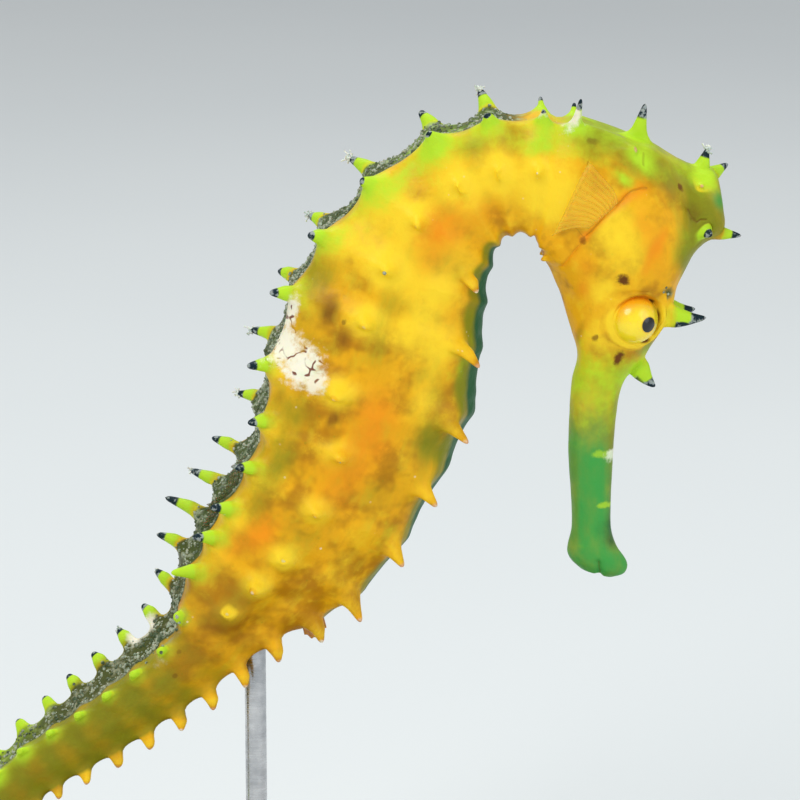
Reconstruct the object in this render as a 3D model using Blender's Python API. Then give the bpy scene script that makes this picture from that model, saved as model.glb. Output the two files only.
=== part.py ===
"""A thorny seahorse as a life-size still model, held by a small display stand.

The animal is one long loft. Its backbone runs from the tip of the snout to the tip of the coiled tail
in the upright plane of symmetry, and every cross-section stands square to it. The section is an oval on
the snout and head, seven-ridged on the trunk and four-ridged on the tail. Thin gaps part the loft into
snout, head, neck, trunk and lengths of tail, and the spines grow from the ridges at the body's rings.

World frame: +Z up, the head at +X facing down, the animal's left side at +Y, and the origin at the
middle of the underside of the stand's base plate. Sizes below are in millimetres.
"""

import math
from typing import NamedTuple

import bmesh
import bpy
import numpy as np
from mathutils import Matrix, Vector

MM = 0.001
GAP = 0.3

# --- backbone -----------------------------------------------------------------------------------------
# Headings are in degrees in the XZ plane: 0 points to +X and 90 straight up.
SNOUT_TIP = (17.4, 40.5)
FIRST_HEADING = 92.0
SAMPLE = 0.05
EASE = 2.5


class Bend(NamedTuple):
    """One stretch of backbone: its length and the heading at its far end."""

    length: float
    heading: float


BENDS = {
    "snout": Bend(13.6, 88.5),
    "brow": Bend(5.0, 71.0),
    "cheek": Bend(4.6, 84.0),
    "occiput": Bend(4.0, 112.0),
    "nape": Bend(6.6, 170.0),
    "neck": Bend(3.4, 190.0),
    "shoulder": Bend(6.2, 232.0),
    "back": Bend(6.0, 250.0),
    "flank": Bend(10.8, 257.0),
    "belly": Bend(9.0, 237.0),
    "vent": Bend(6.0, 226.0),
    "tail root": Bend(6.0, 222.0),
    "tail": Bend(14.0, 214.0),
    "tail drop": Bend(9.5, 262.0),
}
COIL_LENGTH = 41.9
COIL_RADIUS = 8.6
COIL_TIP_RADIUS = 1.4

# --- rings, counted from the shoulder -----------------------------------------------------------------
FIRST_RING = 33.0
TRUNK_RING_STEPS = (1.6, 2.8, 2.9, 3.8, 3.9, 4.0, 5.5, 4.4, 4.6, 4.4)
TAIL_RINGS = 35
TAIL_RING_STEP = 3.05
TAIL_RING_RATIO = 0.979


# --- girth --------------------------------------------------------------------------------------------
class Girth(NamedTuple):
    """Half sizes of the section at one place: to the back, to the belly and to the side."""

    at: float
    up: float
    down: float
    wide: float


ROLL = ((54.0, 0.0), (61.0, 7.0), (70.0, 12.0), (78.0, 16.0), (88.0, 15.0), (104.0, 0.0))
GIRTHS = (
    Girth(0.0, 1.5, 1.1, 0.6),
    Girth(0.4, 2.3, 1.7, 0.95),
    Girth(1.2, 2.6, 1.95, 1.2),
    Girth(2.4, 1.75, 1.85, 1.3),
    Girth(4.2, 1.25, 1.55, 1.2),
    Girth(10.5, 1.45, 1.9, 1.4),
    Girth(15.6, 2.0, 1.85, 1.7),
    Girth(17.4, 2.8, 2.4, 2.1),
    Girth(20.0, 3.7, 4.0, 2.65),
    Girth(22.6, 4.1, 5.2, 3.1),
    Girth(25.3, 5.6, 5.75, 3.6),
    Girth(28.6, 5.9, 5.75, 3.5),
    Girth(30.8, 4.5, 5.7, 3.3),
    Girth(33.0, 3.9, 5.3, 3.2),
    Girth(37.4, 3.85, 4.95, 3.6),
    Girth(44.1, 5.0, 5.6, 4.3),
    Girth(52.0, 6.75, 7.0, 5.0),
    Girth(57.5, 7.0, 7.85, 5.2),
    Girth(64.0, 6.6, 6.75, 5.0),
    Girth(70.9, 6.6, 6.0, 4.4),
    Girth(77.3, 5.3, 3.7, 3.4),
    Girth(82.0, 2.4, 3.2, 2.9),
    Girth(89.0, 2.15, 2.75, 2.6),
    Girth(96.0, 1.95, 2.3, 2.35),
    Girth(145.8, 0.45, 0.45, 0.4),
    Girth(146.6, 0.22, 0.22, 0.2),
)
KEEL = ((34.0, 0.2), (45.0, 0.6), (57.0, 0.8), (68.0, 1.1), (73.0, 1.0), (79.0, 0.3), (90.0, 0.1))
RIDGED_FROM, RIDGED_TO = 19.0, 34.0
TAIL_FROM, TAIL_TO = 70.0, 84.0
LIP_SLANT, LIP_LENGTH = 0.4, 4.0
TRUNK_SUPERIOR, TAIL_SUPERIOR = 0.72, 0.94
TRUNK_INFERIOR, TAIL_INFERIOR = 0.62, 0.90
LATERAL_SHARE = 0.43
BACK_HOLLOW = 0.35
OVAL_BULGE, TRUNK_BULGE = 0.10, 0.04
NARROW_TRUNK = 3.6
VALLEY = {"mid back": 0.5, "superior": 0.75, "lateral": 0.3, "inferior": 0.5, "keel": 0.3}


def eased(value):
    """A smooth step from 0 to 1."""
    value = min(max(value, 0.0), 1.0)
    return value * value * (3.0 - 2.0 * value)


def smooth_read(at, places, values):
    """Reads a table with a curve that passes through its entries and doesn't overshoot them."""
    places, values = np.asarray(places), np.asarray(values)
    at = min(max(at, places[0]), places[-1])
    left = int(np.clip(np.searchsorted(places, at) - 1, 0, len(places) - 2))
    rise = np.diff(values) / np.diff(places)

    def slope(index):
        if index in (0, len(places) - 1) or rise[index - 1] * rise[index] <= 0.0:
            return 0.0
        return 2.0 * rise[index - 1] * rise[index] / (rise[index - 1] + rise[index])

    span = places[left + 1] - places[left]
    t = (at - places[left]) / span
    blend = t * t * (3.0 - 2.0 * t)
    return (
        values[left] * (1.0 - blend)
        + values[left + 1] * blend
        + span * (t * (1.0 - t) ** 2 * slope(left) - t * t * (1.0 - t) * slope(left + 1))
    )


def lay_backbone():
    """The backbone as sampled places, points and headings."""
    bent = sum(bend.length for bend in BENDS.values())
    places = np.arange(0.0, bent + COIL_LENGTH + SAMPLE, SAMPLE)
    curve = np.zeros_like(places)
    start, heading = 0.0, FIRST_HEADING
    for bend in BENDS.values():
        inside = (places >= start) & (places < start + bend.length)
        curve[inside] = math.radians(bend.heading - heading) / bend.length
        start, heading = start + bend.length, bend.heading
    coiled = places >= bent
    share = (places[coiled] - bent) / COIL_LENGTH
    curve[coiled] = 1.0 / (COIL_RADIUS + (COIL_TIP_RADIUS - COIL_RADIUS) * np.minimum(share, 1.0))
    window = int(EASE / SAMPLE)
    padded = np.concatenate([np.full(window, curve[0]), curve, np.full(window, curve[-1])])
    curve = np.convolve(padded, np.ones(window) / window, "same")[window:-window]
    turned = np.concatenate([[0.0], np.cumsum((curve[1:] + curve[:-1]) * 0.5 * SAMPLE)])
    headings = math.radians(FIRST_HEADING) + turned
    steps = np.stack([np.cos(headings), np.sin(headings)], axis=1)
    run = np.cumsum((steps[1:] + steps[:-1]) * 0.5 * SAMPLE, axis=0)
    points = np.array(SNOUT_TIP) + np.concatenate([[[0.0, 0.0]], run])
    return places, points, headings


PLACES, POINTS, HEADINGS = lay_backbone()
TAIL_TIP = sum(bend.length for bend in BENDS.values()) + COIL_LENGTH


def ring_places():
    """Where every body ring stands along the backbone: eleven on the trunk, the rest on the tail."""
    rings = [FIRST_RING]
    for step in TRUNK_RING_STEPS:
        rings.append(rings[-1] + step)
    for index in range(TAIL_RINGS):
        rings.append(rings[-1] + TAIL_RING_STEP * TAIL_RING_RATIO**index)
    return rings


RINGS = ring_places()


def backbone(at):
    """Centre and the directions towards the tail, the back and the left, at one place."""
    x = np.interp(at, PLACES, POINTS[:, 0])
    z = np.interp(at, PLACES, POINTS[:, 1])
    heading = np.interp(at, PLACES, HEADINGS)
    along = Vector((math.cos(heading), 0.0, math.sin(heading)))
    back = Vector((math.sin(heading), 0.0, -math.cos(heading)))
    left = Vector((0.0, 1.0, 0.0))
    roll = math.radians(smooth_read(at, *zip(*ROLL)))
    return (
        Vector((x, 0.0, z)),
        along,
        back * math.cos(roll) - left * math.sin(roll),
        left * math.cos(roll) + back * math.sin(roll),
    )


def valley_share(at):
    """How deep between two rings a place lies: 0 on a ring, 1 halfway, rising fast near the ring."""
    if at <= RINGS[0] or at >= RINGS[-1]:
        return 0.0
    after = next(index for index, ring in enumerate(RINGS) if ring >= at)
    middle = 0.5 * (RINGS[after - 1] + RINGS[after])
    half = 0.5 * (RINGS[after] - RINGS[after - 1])
    return 1.0 - (abs(at - middle) / half) ** 2


def section_corners(at):
    """Corners of the half section as (side, back): mid back, superior, lateral and inferior ridge, keel."""
    girth_at = [girth.at for girth in GIRTHS]
    up, down, wide = (
        smooth_read(at, girth_at, [girth[column] for girth in GIRTHS]) for column in (1, 2, 3)
    )
    keel = smooth_read(at, *zip(*KEEL))
    ridged = eased((at - RIDGED_FROM) / (RIDGED_TO - RIDGED_FROM))
    tail = eased((at - TAIL_FROM) / (TAIL_TO - TAIL_FROM))
    superior = TRUNK_SUPERIOR + (TAIL_SUPERIOR - TRUNK_SUPERIOR) * tail
    inferior = TRUNK_INFERIOR + (TAIL_INFERIOR - TRUNK_INFERIOR) * tail
    slant = math.sqrt(0.5)
    oval = np.array(
        [(0.0, up), (slant * wide, slant * up), (wide, 0.0), (slant * wide, -slant * down), (0.0, -down)]
    )
    ridge = np.array(
        [
            (0.0, up - BACK_HOLLOW),
            (superior * wide, up),
            (wide, up - LATERAL_SHARE * (up + down)),
            (inferior * wide, -down),
            (0.0, -down - keel),
        ]
    )
    corners = oval + (ridge - oval) * ridged
    depth = valley_share(at) * min(1.0, wide / NARROW_TRUNK)
    for corner, (row, pull) in enumerate(VALLEY.items()):
        pull *= depth * (1.0 - tail if row in ("lateral", "keel") else 1.0)
        corners[corner] *= 1.0 - pull / np.linalg.norm(corners[corner])
    return corners, OVAL_BULGE + (TRUNK_BULGE - OVAL_BULGE) * ridged


def section_point(at, around):
    """A point of the section as (side, back). Around runs 0 to 4 down the left and 4 to 8 up the right."""
    corners, bulge = section_corners(at)
    mirror = -1.0 if around > 4.0 else 1.0
    around = 8.0 - around if around > 4.0 else around
    corner = min(int(around), 3)
    share = around - corner
    first, second = corners[corner], corners[corner + 1]
    chord = second - first
    outward = np.array([-chord[1], chord[0]])
    point = first + chord * share + outward * bulge * 4.0 * share * (1.0 - share)
    return mirror * point[0], point[1]


def surface(at, around):
    """A point of the skin."""
    centre, along, back, left = backbone(at)
    side, height = section_point(at, around)
    slant = LIP_SLANT * (1.0 - eased(at / LIP_LENGTH))
    return centre + left * side + back * height - along * (slant * height)


def outward(at, around):
    """The direction away from the backbone through a point of the skin."""
    _, _, back, left = backbone(at)
    side, height = section_point(at, around)
    return (left * side + back * height).normalized()


# --- spines -------------------------------------------------------------------------------------------
class Spine(NamedTuple):
    """A spine on the skin. Lean tips it towards the tail and splay towards its own side, in degrees."""

    at: float
    around: float
    length: float
    lean: float = 8.0
    splay: float = 0.0
    reach: float = 0.85
    tip: float = 0.25


MID_BACK, SUPERIOR, LATERAL, INFERIOR, KEEL_LINE = 0.0, 1.0, 2.0, 3.0, 4.0
TALL = 0.75
REACH = 0.85
REACH_SHARE = 0.4
FLARE_SHARE, FLARE_RADIUS = 0.32, 0.48
BLUNT_SHARE = 0.86
INFERIOR_LEAN = 25.0


class RingSpines(NamedTuple):
    """Spine lengths on one ring, and the lean of its superior pair, which differs from right to left."""

    right: float
    left: float
    lateral: float
    inferior: float
    keel: float
    lean: float = 8.0


RING_SPINES = (
    RingSpines(1.9, 1.0, 0.0, 0.0, 0.0),
    RingSpines(0.9, 1.0, 0.5, 0.0, 0.0),
    RingSpines(0.8, 2.0, 0.6, 0.0, 0.0),
    RingSpines(0.75, 1.8, 0.6, 0.0, 0.0),
    RingSpines(0.8, 2.1, 0.8, 0.0, 0.3),
    RingSpines(1.2, 1.5, 0.7, 1.4, 0.4),
    RingSpines(1.7, 1.4, 0.9, 2.1, 0.6),
    RingSpines(2.0, 2.3, 1.1, 2.1, 0.6),
    RingSpines(1.6, 2.0, 0.8, 1.8, 0.6),
    RingSpines(1.8, 1.9, 0.8, 1.6, 0.6),
    RingSpines(1.9, 2.3, 0.3, 2.0, 0.5, 12.0),
    RingSpines(2.1, 3.0, 1.2, 1.4, 0.3, 20.0),
    RingSpines(2.4, 2.1, 0.4, 1.3, 0.0, 26.0),
)
TAIL_SPINES = RingSpines(0.8, 1.7, 0.0, 1.4, 0.0)
TAIL_SPINE_RATIO = 0.92
NOSE_SPINE = Spine(17.2, MID_BACK, 2.4, lean=-42.0, reach=0.9, tip=0.22)
EYE_SPINE_RIGHT = Spine(21.1, 7.4, 3.2, lean=8.0, splay=-14.0, reach=0.8, tip=0.22)
EYE_SPINE_LEFT = Spine(21.1, 0.6, 2.6, lean=8.0, splay=-14.0, reach=0.8, tip=0.22)
NAPE_SPINES = (
    Spine(30.7, MID_BACK, 2.0, lean=12.0, reach=0.8),
    Spine(30.7, 1.2, 0.9, lean=-15.0, reach=0.8),
    Spine(30.7, 6.8, 0.9, lean=-15.0, reach=0.8),
)


def mirrored(around):
    """The same line of the skin on the other side."""
    return (8.0 - around) % 8.0


def ring_spines(number):
    """The spines on one ring."""
    at = RINGS[number]
    steps = [abs(at - RINGS[other]) for other in (number - 1, number + 1) if 0 <= other < len(RINGS)]
    reach = min(REACH, REACH_SHARE * min(steps))
    if number < len(RING_SPINES):
        size = RING_SPINES[number]
    else:
        shrink = TAIL_SPINE_RATIO ** (number - len(RING_SPINES))
        size = RingSpines(*(length * shrink for length in TAIL_SPINES[:-1]))
    rows = (
        (SUPERIOR, size.left, size.lean),
        (mirrored(SUPERIOR), size.right, size.lean),
        (LATERAL, size.lateral, 10.0),
        (mirrored(LATERAL), size.lateral, 10.0),
        (INFERIOR, size.inferior, INFERIOR_LEAN),
        (mirrored(INFERIOR), size.inferior, INFERIOR_LEAN),
        (KEEL_LINE, size.keel, INFERIOR_LEAN),
    )
    return [Spine(at, around, length, lean, reach=reach) for around, length, lean in rows if length > 0.0]


def spine_axis(spine):
    """Where a spine is rooted and which way it points."""
    _, along, _, left = backbone(spine.at)
    side = left if spine.around <= 4.0 else -left
    lean, splay = math.tan(math.radians(spine.lean)), math.tan(math.radians(spine.splay))
    axis = outward(spine.at, spine.around) + along * lean + side * splay
    return surface(spine.at, spine.around), axis.normalized()


# --- nets of faces ------------------------------------------------------------------------------------
class Hub(NamedTuple):
    """A spine on a net: the crossing it stands on, its root, its direction, its length and its tip."""

    row: int
    column: int
    root: Vector
    axis: Vector
    length: float
    tip: float


AROUND_HUB = ((-1, -1), (-1, 0), (-1, 1), (0, 1), (1, 1), (1, 0), (1, -1), (0, -1))


def bridge(mesh, first, second):
    """Joins two loops of as many corners with a band of faces."""
    for index, corner in enumerate(first):
        after = (index + 1) % len(first)
        mesh.faces.new((corner, first[after], second[after], second[index]))


def fan(mesh, loop, middle):
    """Closes a loop of corners with triangles to one point."""
    for index, corner in enumerate(loop):
        mesh.faces.new((corner, loop[(index + 1) % len(loop)], middle))


def spine_loop(mesh, ring, hub, share, radius):
    """A loop round a spine, with its corners at the same turns as those of the ring."""
    centre = hub.root + hub.axis * (hub.length * share)
    loop = []
    for corner in ring:
        offset = corner.co / MM - hub.root
        offset -= hub.axis * offset.dot(hub.axis)
        loop.append(mesh.verts.new((centre + offset.normalized() * radius) * MM))
    return loop


def stand_spine(mesh, grid, hub):
    """Replaces the four faces round a crossing with a spine: a tall one flares up, a low one is a cone."""
    count = len(grid[0])
    ring = [grid[hub.row + down][(hub.column + over) % count] for down, over in AROUND_HUB]
    crossing = grid[hub.row][hub.column]
    if hub.length < TALL:
        crossing.co = (hub.root + hub.axis * hub.length) * MM
        fan(mesh, ring, crossing)
        return
    mesh.verts.remove(crossing)
    flare = spine_loop(mesh, ring, hub, FLARE_SHARE, FLARE_RADIUS)
    blunt = spine_loop(mesh, ring, hub, BLUNT_SHARE, hub.tip)
    bridge(mesh, ring, flare)
    bridge(mesh, flare, blunt)
    fan(mesh, blunt, mesh.verts.new((hub.root + hub.axis * hub.length) * MM))


def net(rows, hubs, first_middle, last_middle):
    """A closed bmesh from loops of points, with spines on it and both ends filled."""
    mesh = bmesh.new()
    grid = [[mesh.verts.new(point * MM) for point in row] for row in rows]
    count = len(grid[0])
    taken = {(hub.row + down, (hub.column + over) % count) for hub in hubs for down in (-1, 0) for over in (-1, 0)}
    for row in range(len(grid) - 1):
        for column in range(count):
            if (row, column) not in taken:
                after = (column + 1) % count
                mesh.faces.new(
                    (grid[row][column], grid[row][after], grid[row + 1][after], grid[row + 1][column])
                )
    for hub in hubs:
        stand_spine(mesh, grid, hub)
    fan(mesh, grid[0], mesh.verts.new(first_middle * MM))
    fan(mesh, grid[-1], mesh.verts.new(last_middle * MM))
    bmesh.ops.recalc_face_normals(mesh, faces=mesh.faces)
    return mesh


# --- lengths of body ----------------------------------------------------------------------------------
SNOUT_COLUMNS = tuple(step * 2.0 / 3.0 for step in range(12))
HEAD_HALF = (0.0, 0.3, 0.6, 1.0, 1.5, 2.0, 2.5, 3.0, 3.5)
TRUNK_HALF = (0.0, 0.68, 1.0, 1.2, 1.85, 2.0, 2.15, 2.84, 3.0, 3.3)
TAIL_HALF = (0.0, 0.66, 1.0, 1.34, 2.0, 2.66, 3.0, 3.34)
FAR_TAIL_COLUMNS = tuple(float(step) for step in range(8))


def both_sides(half):
    """Columns right round the body from those of one side."""
    return half + (KEEL_LINE,) + tuple(8.0 - around for around in half[:0:-1])


class Length(NamedTuple):
    """One length of body: where it starts and ends, its columns, the longest step between sections."""

    start: float
    end: float
    columns: tuple
    longest: float
    spines: tuple = ()


def between(number):
    """The place halfway between a ring and the one before it."""
    return 0.5 * (RINGS[number - 1] + RINGS[number])


HEAD_START, NECK_START = 15.4, 29.2
TRUNK_COLUMNS, TAIL_COLUMNS = both_sides(TRUNK_HALF), both_sides(TAIL_HALF)
LENGTHS = {
    "snout": Length(0.0, HEAD_START, SNOUT_COLUMNS, 2.6),
    "head": Length(
        HEAD_START,
        NECK_START,
        both_sides(HEAD_HALF),
        1.6,
        (NOSE_SPINE, EYE_SPINE_RIGHT, EYE_SPINE_LEFT),
    ),
    "neck": Length(NECK_START, between(3), TRUNK_COLUMNS, 2.2, NAPE_SPINES),
    "trunk_front": Length(between(3), between(7), TRUNK_COLUMNS, 2.2),
    "trunk_rear": Length(between(7), between(11), TRUNK_COLUMNS, 2.2),
    "tail_1": Length(between(11), between(15), TAIL_COLUMNS, 2.2),
    "tail_2": Length(between(15), between(20), TAIL_COLUMNS, 2.2),
    "tail_3": Length(between(20), between(25), TAIL_COLUMNS, 2.2),
    "tail_4": Length(between(25), between(31), FAR_TAIL_COLUMNS, 1.5),
    "tail_5": Length(between(31), between(38), FAR_TAIL_COLUMNS, 1.5),
    "tail_6": Length(between(38), TAIL_TIP, FAR_TAIL_COLUMNS, 1.5),
}


def section_places(length, start, end, spines):
    """Places for the sections of a length: its ends, its spines, its girths and fillers between them."""
    marks = {start, end}
    for spine in spines:
        marks |= {spine.at - spine.reach, spine.at, spine.at + spine.reach}
    if not spines:
        marks |= {girth.at for girth in GIRTHS}
    marks = sorted(mark for mark in marks if start <= mark <= end)
    places = [marks[0]]
    for mark in marks[1:]:
        first = places[-1]
        parts = math.ceil((mark - first) / length.longest)
        places += [first + (mark - first) * part / parts for part in range(1, parts + 1)]
    return places


def build_length(name, length):
    """The bmesh of one length of body with its spines."""
    start = length.start + (0.5 * GAP if name != "snout" else 0.0)
    end = length.end - (0.5 * GAP if name != "tail_6" else 0.0)
    spines = list(length.spines)
    for number, ring in enumerate(RINGS[:-1]):
        if start < ring < end:
            spines += ring_spines(number)
    places = section_places(length, start, end, spines)
    rows = [[surface(at, around) for around in length.columns] for at in places]
    hubs = []
    for spine in spines:
        row = places.index(spine.at)
        column = length.columns.index(spine.around)
        hubs.append(Hub(row, column, *spine_axis(spine), spine.length, spine.tip))
    return net(rows, hubs, backbone(start)[0], backbone(end)[0])


# --- coronet ------------------------------------------------------------------------------------------
class CrownSpine(NamedTuple):
    """A spine of the coronet: its column, the height of its root, and the height and reach of its tip."""

    column: int
    root: float
    height: float
    reach: float


CORONET_AT, CORONET_TILT = 26.9, 4.0
CORONET_COLUMNS, CORONET_FIRST_TURN = 20, -8.0
CORONET_BASE_ALONG, CORONET_BASE_ACROSS = 1.35, 2.15
# Levels of the column above the head: height, half size along the body, half size across it.
CORONET_LEVELS = ((0.6, 2.45, 2.1), (1.2, 2.3, 2.0), (1.9, 2.1, 1.9), (2.3, 1.2, 1.2))
CORONET_HUB_ROW = 2
CORONET_TOP = 2.35
CROWN_SPINES = (
    CrownSpine(0, 1.0, 1.8, 4.1),
    CrownSpine(3, 1.5, 3.5, 3.2),
    CrownSpine(7, 1.2, 1.9, 3.1),
    CrownSpine(10, 1.5, 3.9, 3.0),
    CrownSpine(14, 1.1, 1.4, 3.5),
    CrownSpine(17, 0.9, 0.8, 2.9),
)


def around_at_side(at, side):
    """The column of the skin on the back that lies a given distance to the side."""
    low, high = 0.0, 2.0
    for _ in range(30):
        middle = 0.5 * (low + high)
        if section_point(at, middle)[0] < abs(side):
            low = middle
        else:
            high = middle
    return low if side >= 0.0 else mirrored(low)


def crown_frame():
    """Foot of the coronet and its three directions: up its axis, towards the tail and to the left."""
    foot, heading = surface(CORONET_AT, MID_BACK), math.radians(CORONET_TILT)
    axis = Vector((math.cos(heading), 0.0, math.sin(heading)))
    tailward = Vector((-math.sin(heading), 0.0, math.cos(heading)))
    return foot, axis, tailward, Vector((0.0, 1.0, 0.0))


def crown_turn(column):
    """The direction of one column of the coronet as its share along and across the body."""
    turn = math.radians(CORONET_FIRST_TURN + 360.0 * column / CORONET_COLUMNS)
    return math.cos(turn), math.sin(turn)


def crown_foot(column, share=1.0):
    """A point just clear of the head, under one column of the coronet."""
    along, across = crown_turn(column)
    at = CORONET_AT + share * CORONET_BASE_ALONG * along
    around = around_at_side(at, share * CORONET_BASE_ACROSS * across)
    return surface(at, around) + outward(at, around) * GAP


def crown_point(column, height, along_size, across_size):
    """A point on one column of the coronet."""
    foot, axis, tailward, left = crown_frame()
    along, across = crown_turn(column)
    return foot + axis * height + tailward * (along_size * along) + left * (across_size * across)


def build_coronet():
    """The crown on the head: a low column with spines that stand out from it."""
    columns = range(CORONET_COLUMNS)
    rows = [[crown_foot(column, 0.5) for column in columns], [crown_foot(column) for column in columns]]
    for height, along_size, across_size in CORONET_LEVELS:
        rows.append([crown_point(column, height, along_size, across_size) for column in columns])
    hub_row = CORONET_HUB_ROW + 1
    _, along_size, across_size = CORONET_LEVELS[1]
    hubs = []
    for spine in CROWN_SPINES:
        root = crown_point(spine.column, spine.root, along_size, across_size)
        tip = crown_point(spine.column, spine.height, spine.reach, spine.reach)
        hubs.append(Hub(hub_row, spine.column, root, (tip - root).normalized(), (tip - root).length, 0.22))
    foot, axis, _, _ = crown_frame()
    return net(rows, hubs, foot + axis * GAP, foot + axis * CORONET_TOP)


# --- fins ---------------------------------------------------------------------------------------------
FIN_THICK = 0.5
FIN_CLEAR = 0.32
PECTORAL_ROOT = ((27.9, 2.55), (30.3, 1.9))
PECTORAL_EDGE = ((31.1, 2.65), (31.8, 1.65))
PECTORAL_BOW = 0.2
PECTORAL_STEPS_OUT, PECTORAL_STEPS_ACROSS = 4, 6
DORSAL_FIN = {"start": 65.2, "end": 73.2, "around": MID_BACK, "rise": 1.0, "rake": 0.6}
ANAL_FIN = {"start": 73.6, "end": 74.9, "around": KEEL_LINE, "rise": 1.1, "rake": 0.7}
BLADE_STEPS = 8


def solid_sheet(inner, outer):
    """A closed bmesh between two grids of points that lie face to face."""
    mesh = bmesh.new()
    layers = [[[mesh.verts.new(point * MM) for point in row] for row in grid] for grid in (inner, outer)]
    rows, columns = len(inner), len(inner[0])
    for layer in layers:
        for row in range(rows - 1):
            for column in range(columns - 1):
                mesh.faces.new(
                    (
                        layer[row][column],
                        layer[row][column + 1],
                        layer[row + 1][column + 1],
                        layer[row + 1][column],
                    )
                )
    rims = []
    for layer in layers:
        rims.append(
            [layer[0][column] for column in range(columns)]
            + [layer[row][-1] for row in range(1, rows)]
            + [layer[-1][column] for column in range(columns - 2, -1, -1)]
            + [layer[row][0] for row in range(rows - 2, 0, -1)]
        )
    bridge(mesh, *rims)
    bmesh.ops.recalc_face_normals(mesh, faces=mesh.faces)
    return mesh


def build_pectoral(side):
    """The fan-shaped fin behind the gill cover, folded flat against the neck. Side is 1 for the left."""
    grids = ([], [])
    for out in range(PECTORAL_STEPS_OUT + 1):
        share = out / PECTORAL_STEPS_OUT
        rows = ([], [])
        for step in range(PECTORAL_STEPS_ACROSS + 1):
            across = step / PECTORAL_STEPS_ACROSS
            root = np.array(PECTORAL_ROOT[0]) * (1.0 - across) + np.array(PECTORAL_ROOT[1]) * across
            edge = np.array(PECTORAL_EDGE[0]) * (1.0 - across) + np.array(PECTORAL_EDGE[1]) * across
            edge[0] += PECTORAL_BOW * 4.0 * across * (1.0 - across)
            at, around = root + (edge - root) * share
            around = around if side > 0 else mirrored(around)
            base, away = surface(at, around), outward(at, around)
            rows[0].append(base + away * FIN_CLEAR)
            rows[1].append(base + away * (FIN_CLEAR + FIN_THICK))
        grids[0].append(rows[0])
        grids[1].append(rows[1])
    return solid_sheet(*grids)


def build_blade(start, end, around, rise, rake):
    """A thin fin along the middle of the back or belly, folded towards the tail."""
    sides = []
    for side in (-0.5, 0.5):
        grid = []
        for step in range(BLADE_STEPS + 1):
            share = step / BLADE_STEPS
            at = start + (end - start) * share
            _, along, _, left = backbone(at)
            away, shift = outward(at, around), left * (side * FIN_THICK)
            foot = surface(at, around) + away * FIN_CLEAR
            height = rise * (0.35 + 0.65 * math.sin(math.pi * (0.12 + 0.76 * share)))
            grid.append([foot + shift, foot + shift + (away + along * rake) * height])
        sides.append(grid)
    return solid_sheet(*sides)


# --- eyes ---------------------------------------------------------------------------------------------
EYE_AT, EYE_BACK, EYE_SIDE = 20.45, 1.35, 1.95
EYE_RADIUS, EYE_DEPTH = 1.65, 1.35
EYE_TURN = 24.0


def build_ball(name, side, grow, finish):
    """A flattened ball in the eye's place, larger than the eye by a margin."""
    centre, _, back, _ = backbone(EYE_AT)
    mesh = bmesh.new()
    bmesh.ops.create_uvsphere(mesh, u_segments=14, v_segments=8, radius=1.0)
    made = place(name, mesh, finish)
    made.location = (centre + back * EYE_BACK + Vector((0.0, side * EYE_SIDE, 0.0))) * MM
    turn = -side * math.radians(EYE_TURN)
    size = Matrix.Diagonal(((EYE_RADIUS + grow) * MM, (EYE_RADIUS + grow) * MM, (EYE_DEPTH + grow) * MM))
    facing = Matrix.Rotation(turn, 3, "Z") @ Matrix.Rotation(math.radians(90.0), 3, "X")
    made.data.transform((facing @ size).to_4x4())
    return made


def hollow_sockets(head, finish):
    """Cuts the eye sockets into the head."""
    for side in (-1.0, 1.0):
        cutter = build_ball("socket_cutter", side, GAP, finish)
        cutter.hide_render = True
        cutter.display_type = "WIRE"
        cut = head.modifiers.new("socket", "BOOLEAN")
        cut.operation = "DIFFERENCE"
        cut.solver = "EXACT"
        cut.object = cutter


# --- stand --------------------------------------------------------------------------------------------
BASE_SIZE = (66.0, 44.0, 5.0)
BASE_CORNER, BASE_BEVEL = 7.0, 0.8
CORNER_STEPS = 6
ROD_RADIUS, COLLAR_RADIUS, COLLAR_HEIGHT = 0.8, 1.8, 0.9
ROD_SIDES = 12
FRONT_ROD_RING = 13


def plate_loop(inset, height):
    """The rounded outline of the base plate, drawn in by an inset at one height."""
    half_x, half_y = 0.5 * BASE_SIZE[0] - inset, 0.5 * BASE_SIZE[1] - inset
    radius = BASE_CORNER - inset
    loop = []
    for corner, (sign_x, sign_y) in enumerate(((1, 1), (-1, 1), (-1, -1), (1, -1))):
        for step in range(CORNER_STEPS + 1):
            turn = math.radians(90.0 * (corner + step / CORNER_STEPS))
            x = sign_x * (half_x - radius) + radius * math.cos(turn)
            y = sign_y * (half_y - radius) + radius * math.sin(turn)
            loop.append(Vector((x, y, height)))
    return loop


def build_plate():
    """The flat base with a small bevel round both faces."""
    top = BASE_SIZE[2]
    levels = ((BASE_BEVEL * 0.5, 0.0), (0.0, BASE_BEVEL * 0.5), (0.0, top - BASE_BEVEL), (BASE_BEVEL, top))
    rows = [plate_loop(inset, height) for inset, height in levels]
    return net(rows, [], Vector((0.0, 0.0, 0.0)), Vector((0.0, 0.0, top)))


def build_rod(x, top):
    """An upright rod with a collar where it meets the base."""
    foot = BASE_SIZE[2] + GAP
    collar = foot + COLLAR_HEIGHT
    profile = (
        (COLLAR_RADIUS, foot),
        (COLLAR_RADIUS, collar - 0.25),
        (COLLAR_RADIUS - 0.25, collar),
        (ROD_RADIUS, collar),
        (ROD_RADIUS, top - 0.15),
        (ROD_RADIUS - 0.15, top),
    )
    rows = []
    for radius, height in profile:
        turns = [2.0 * math.pi * step / ROD_SIDES for step in range(ROD_SIDES)]
        rows.append([Vector((x + radius * math.cos(turn), radius * math.sin(turn), height)) for turn in turns])
    return net(rows, [], Vector((x, 0.0, foot)), Vector((x, 0.0, top)))


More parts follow.
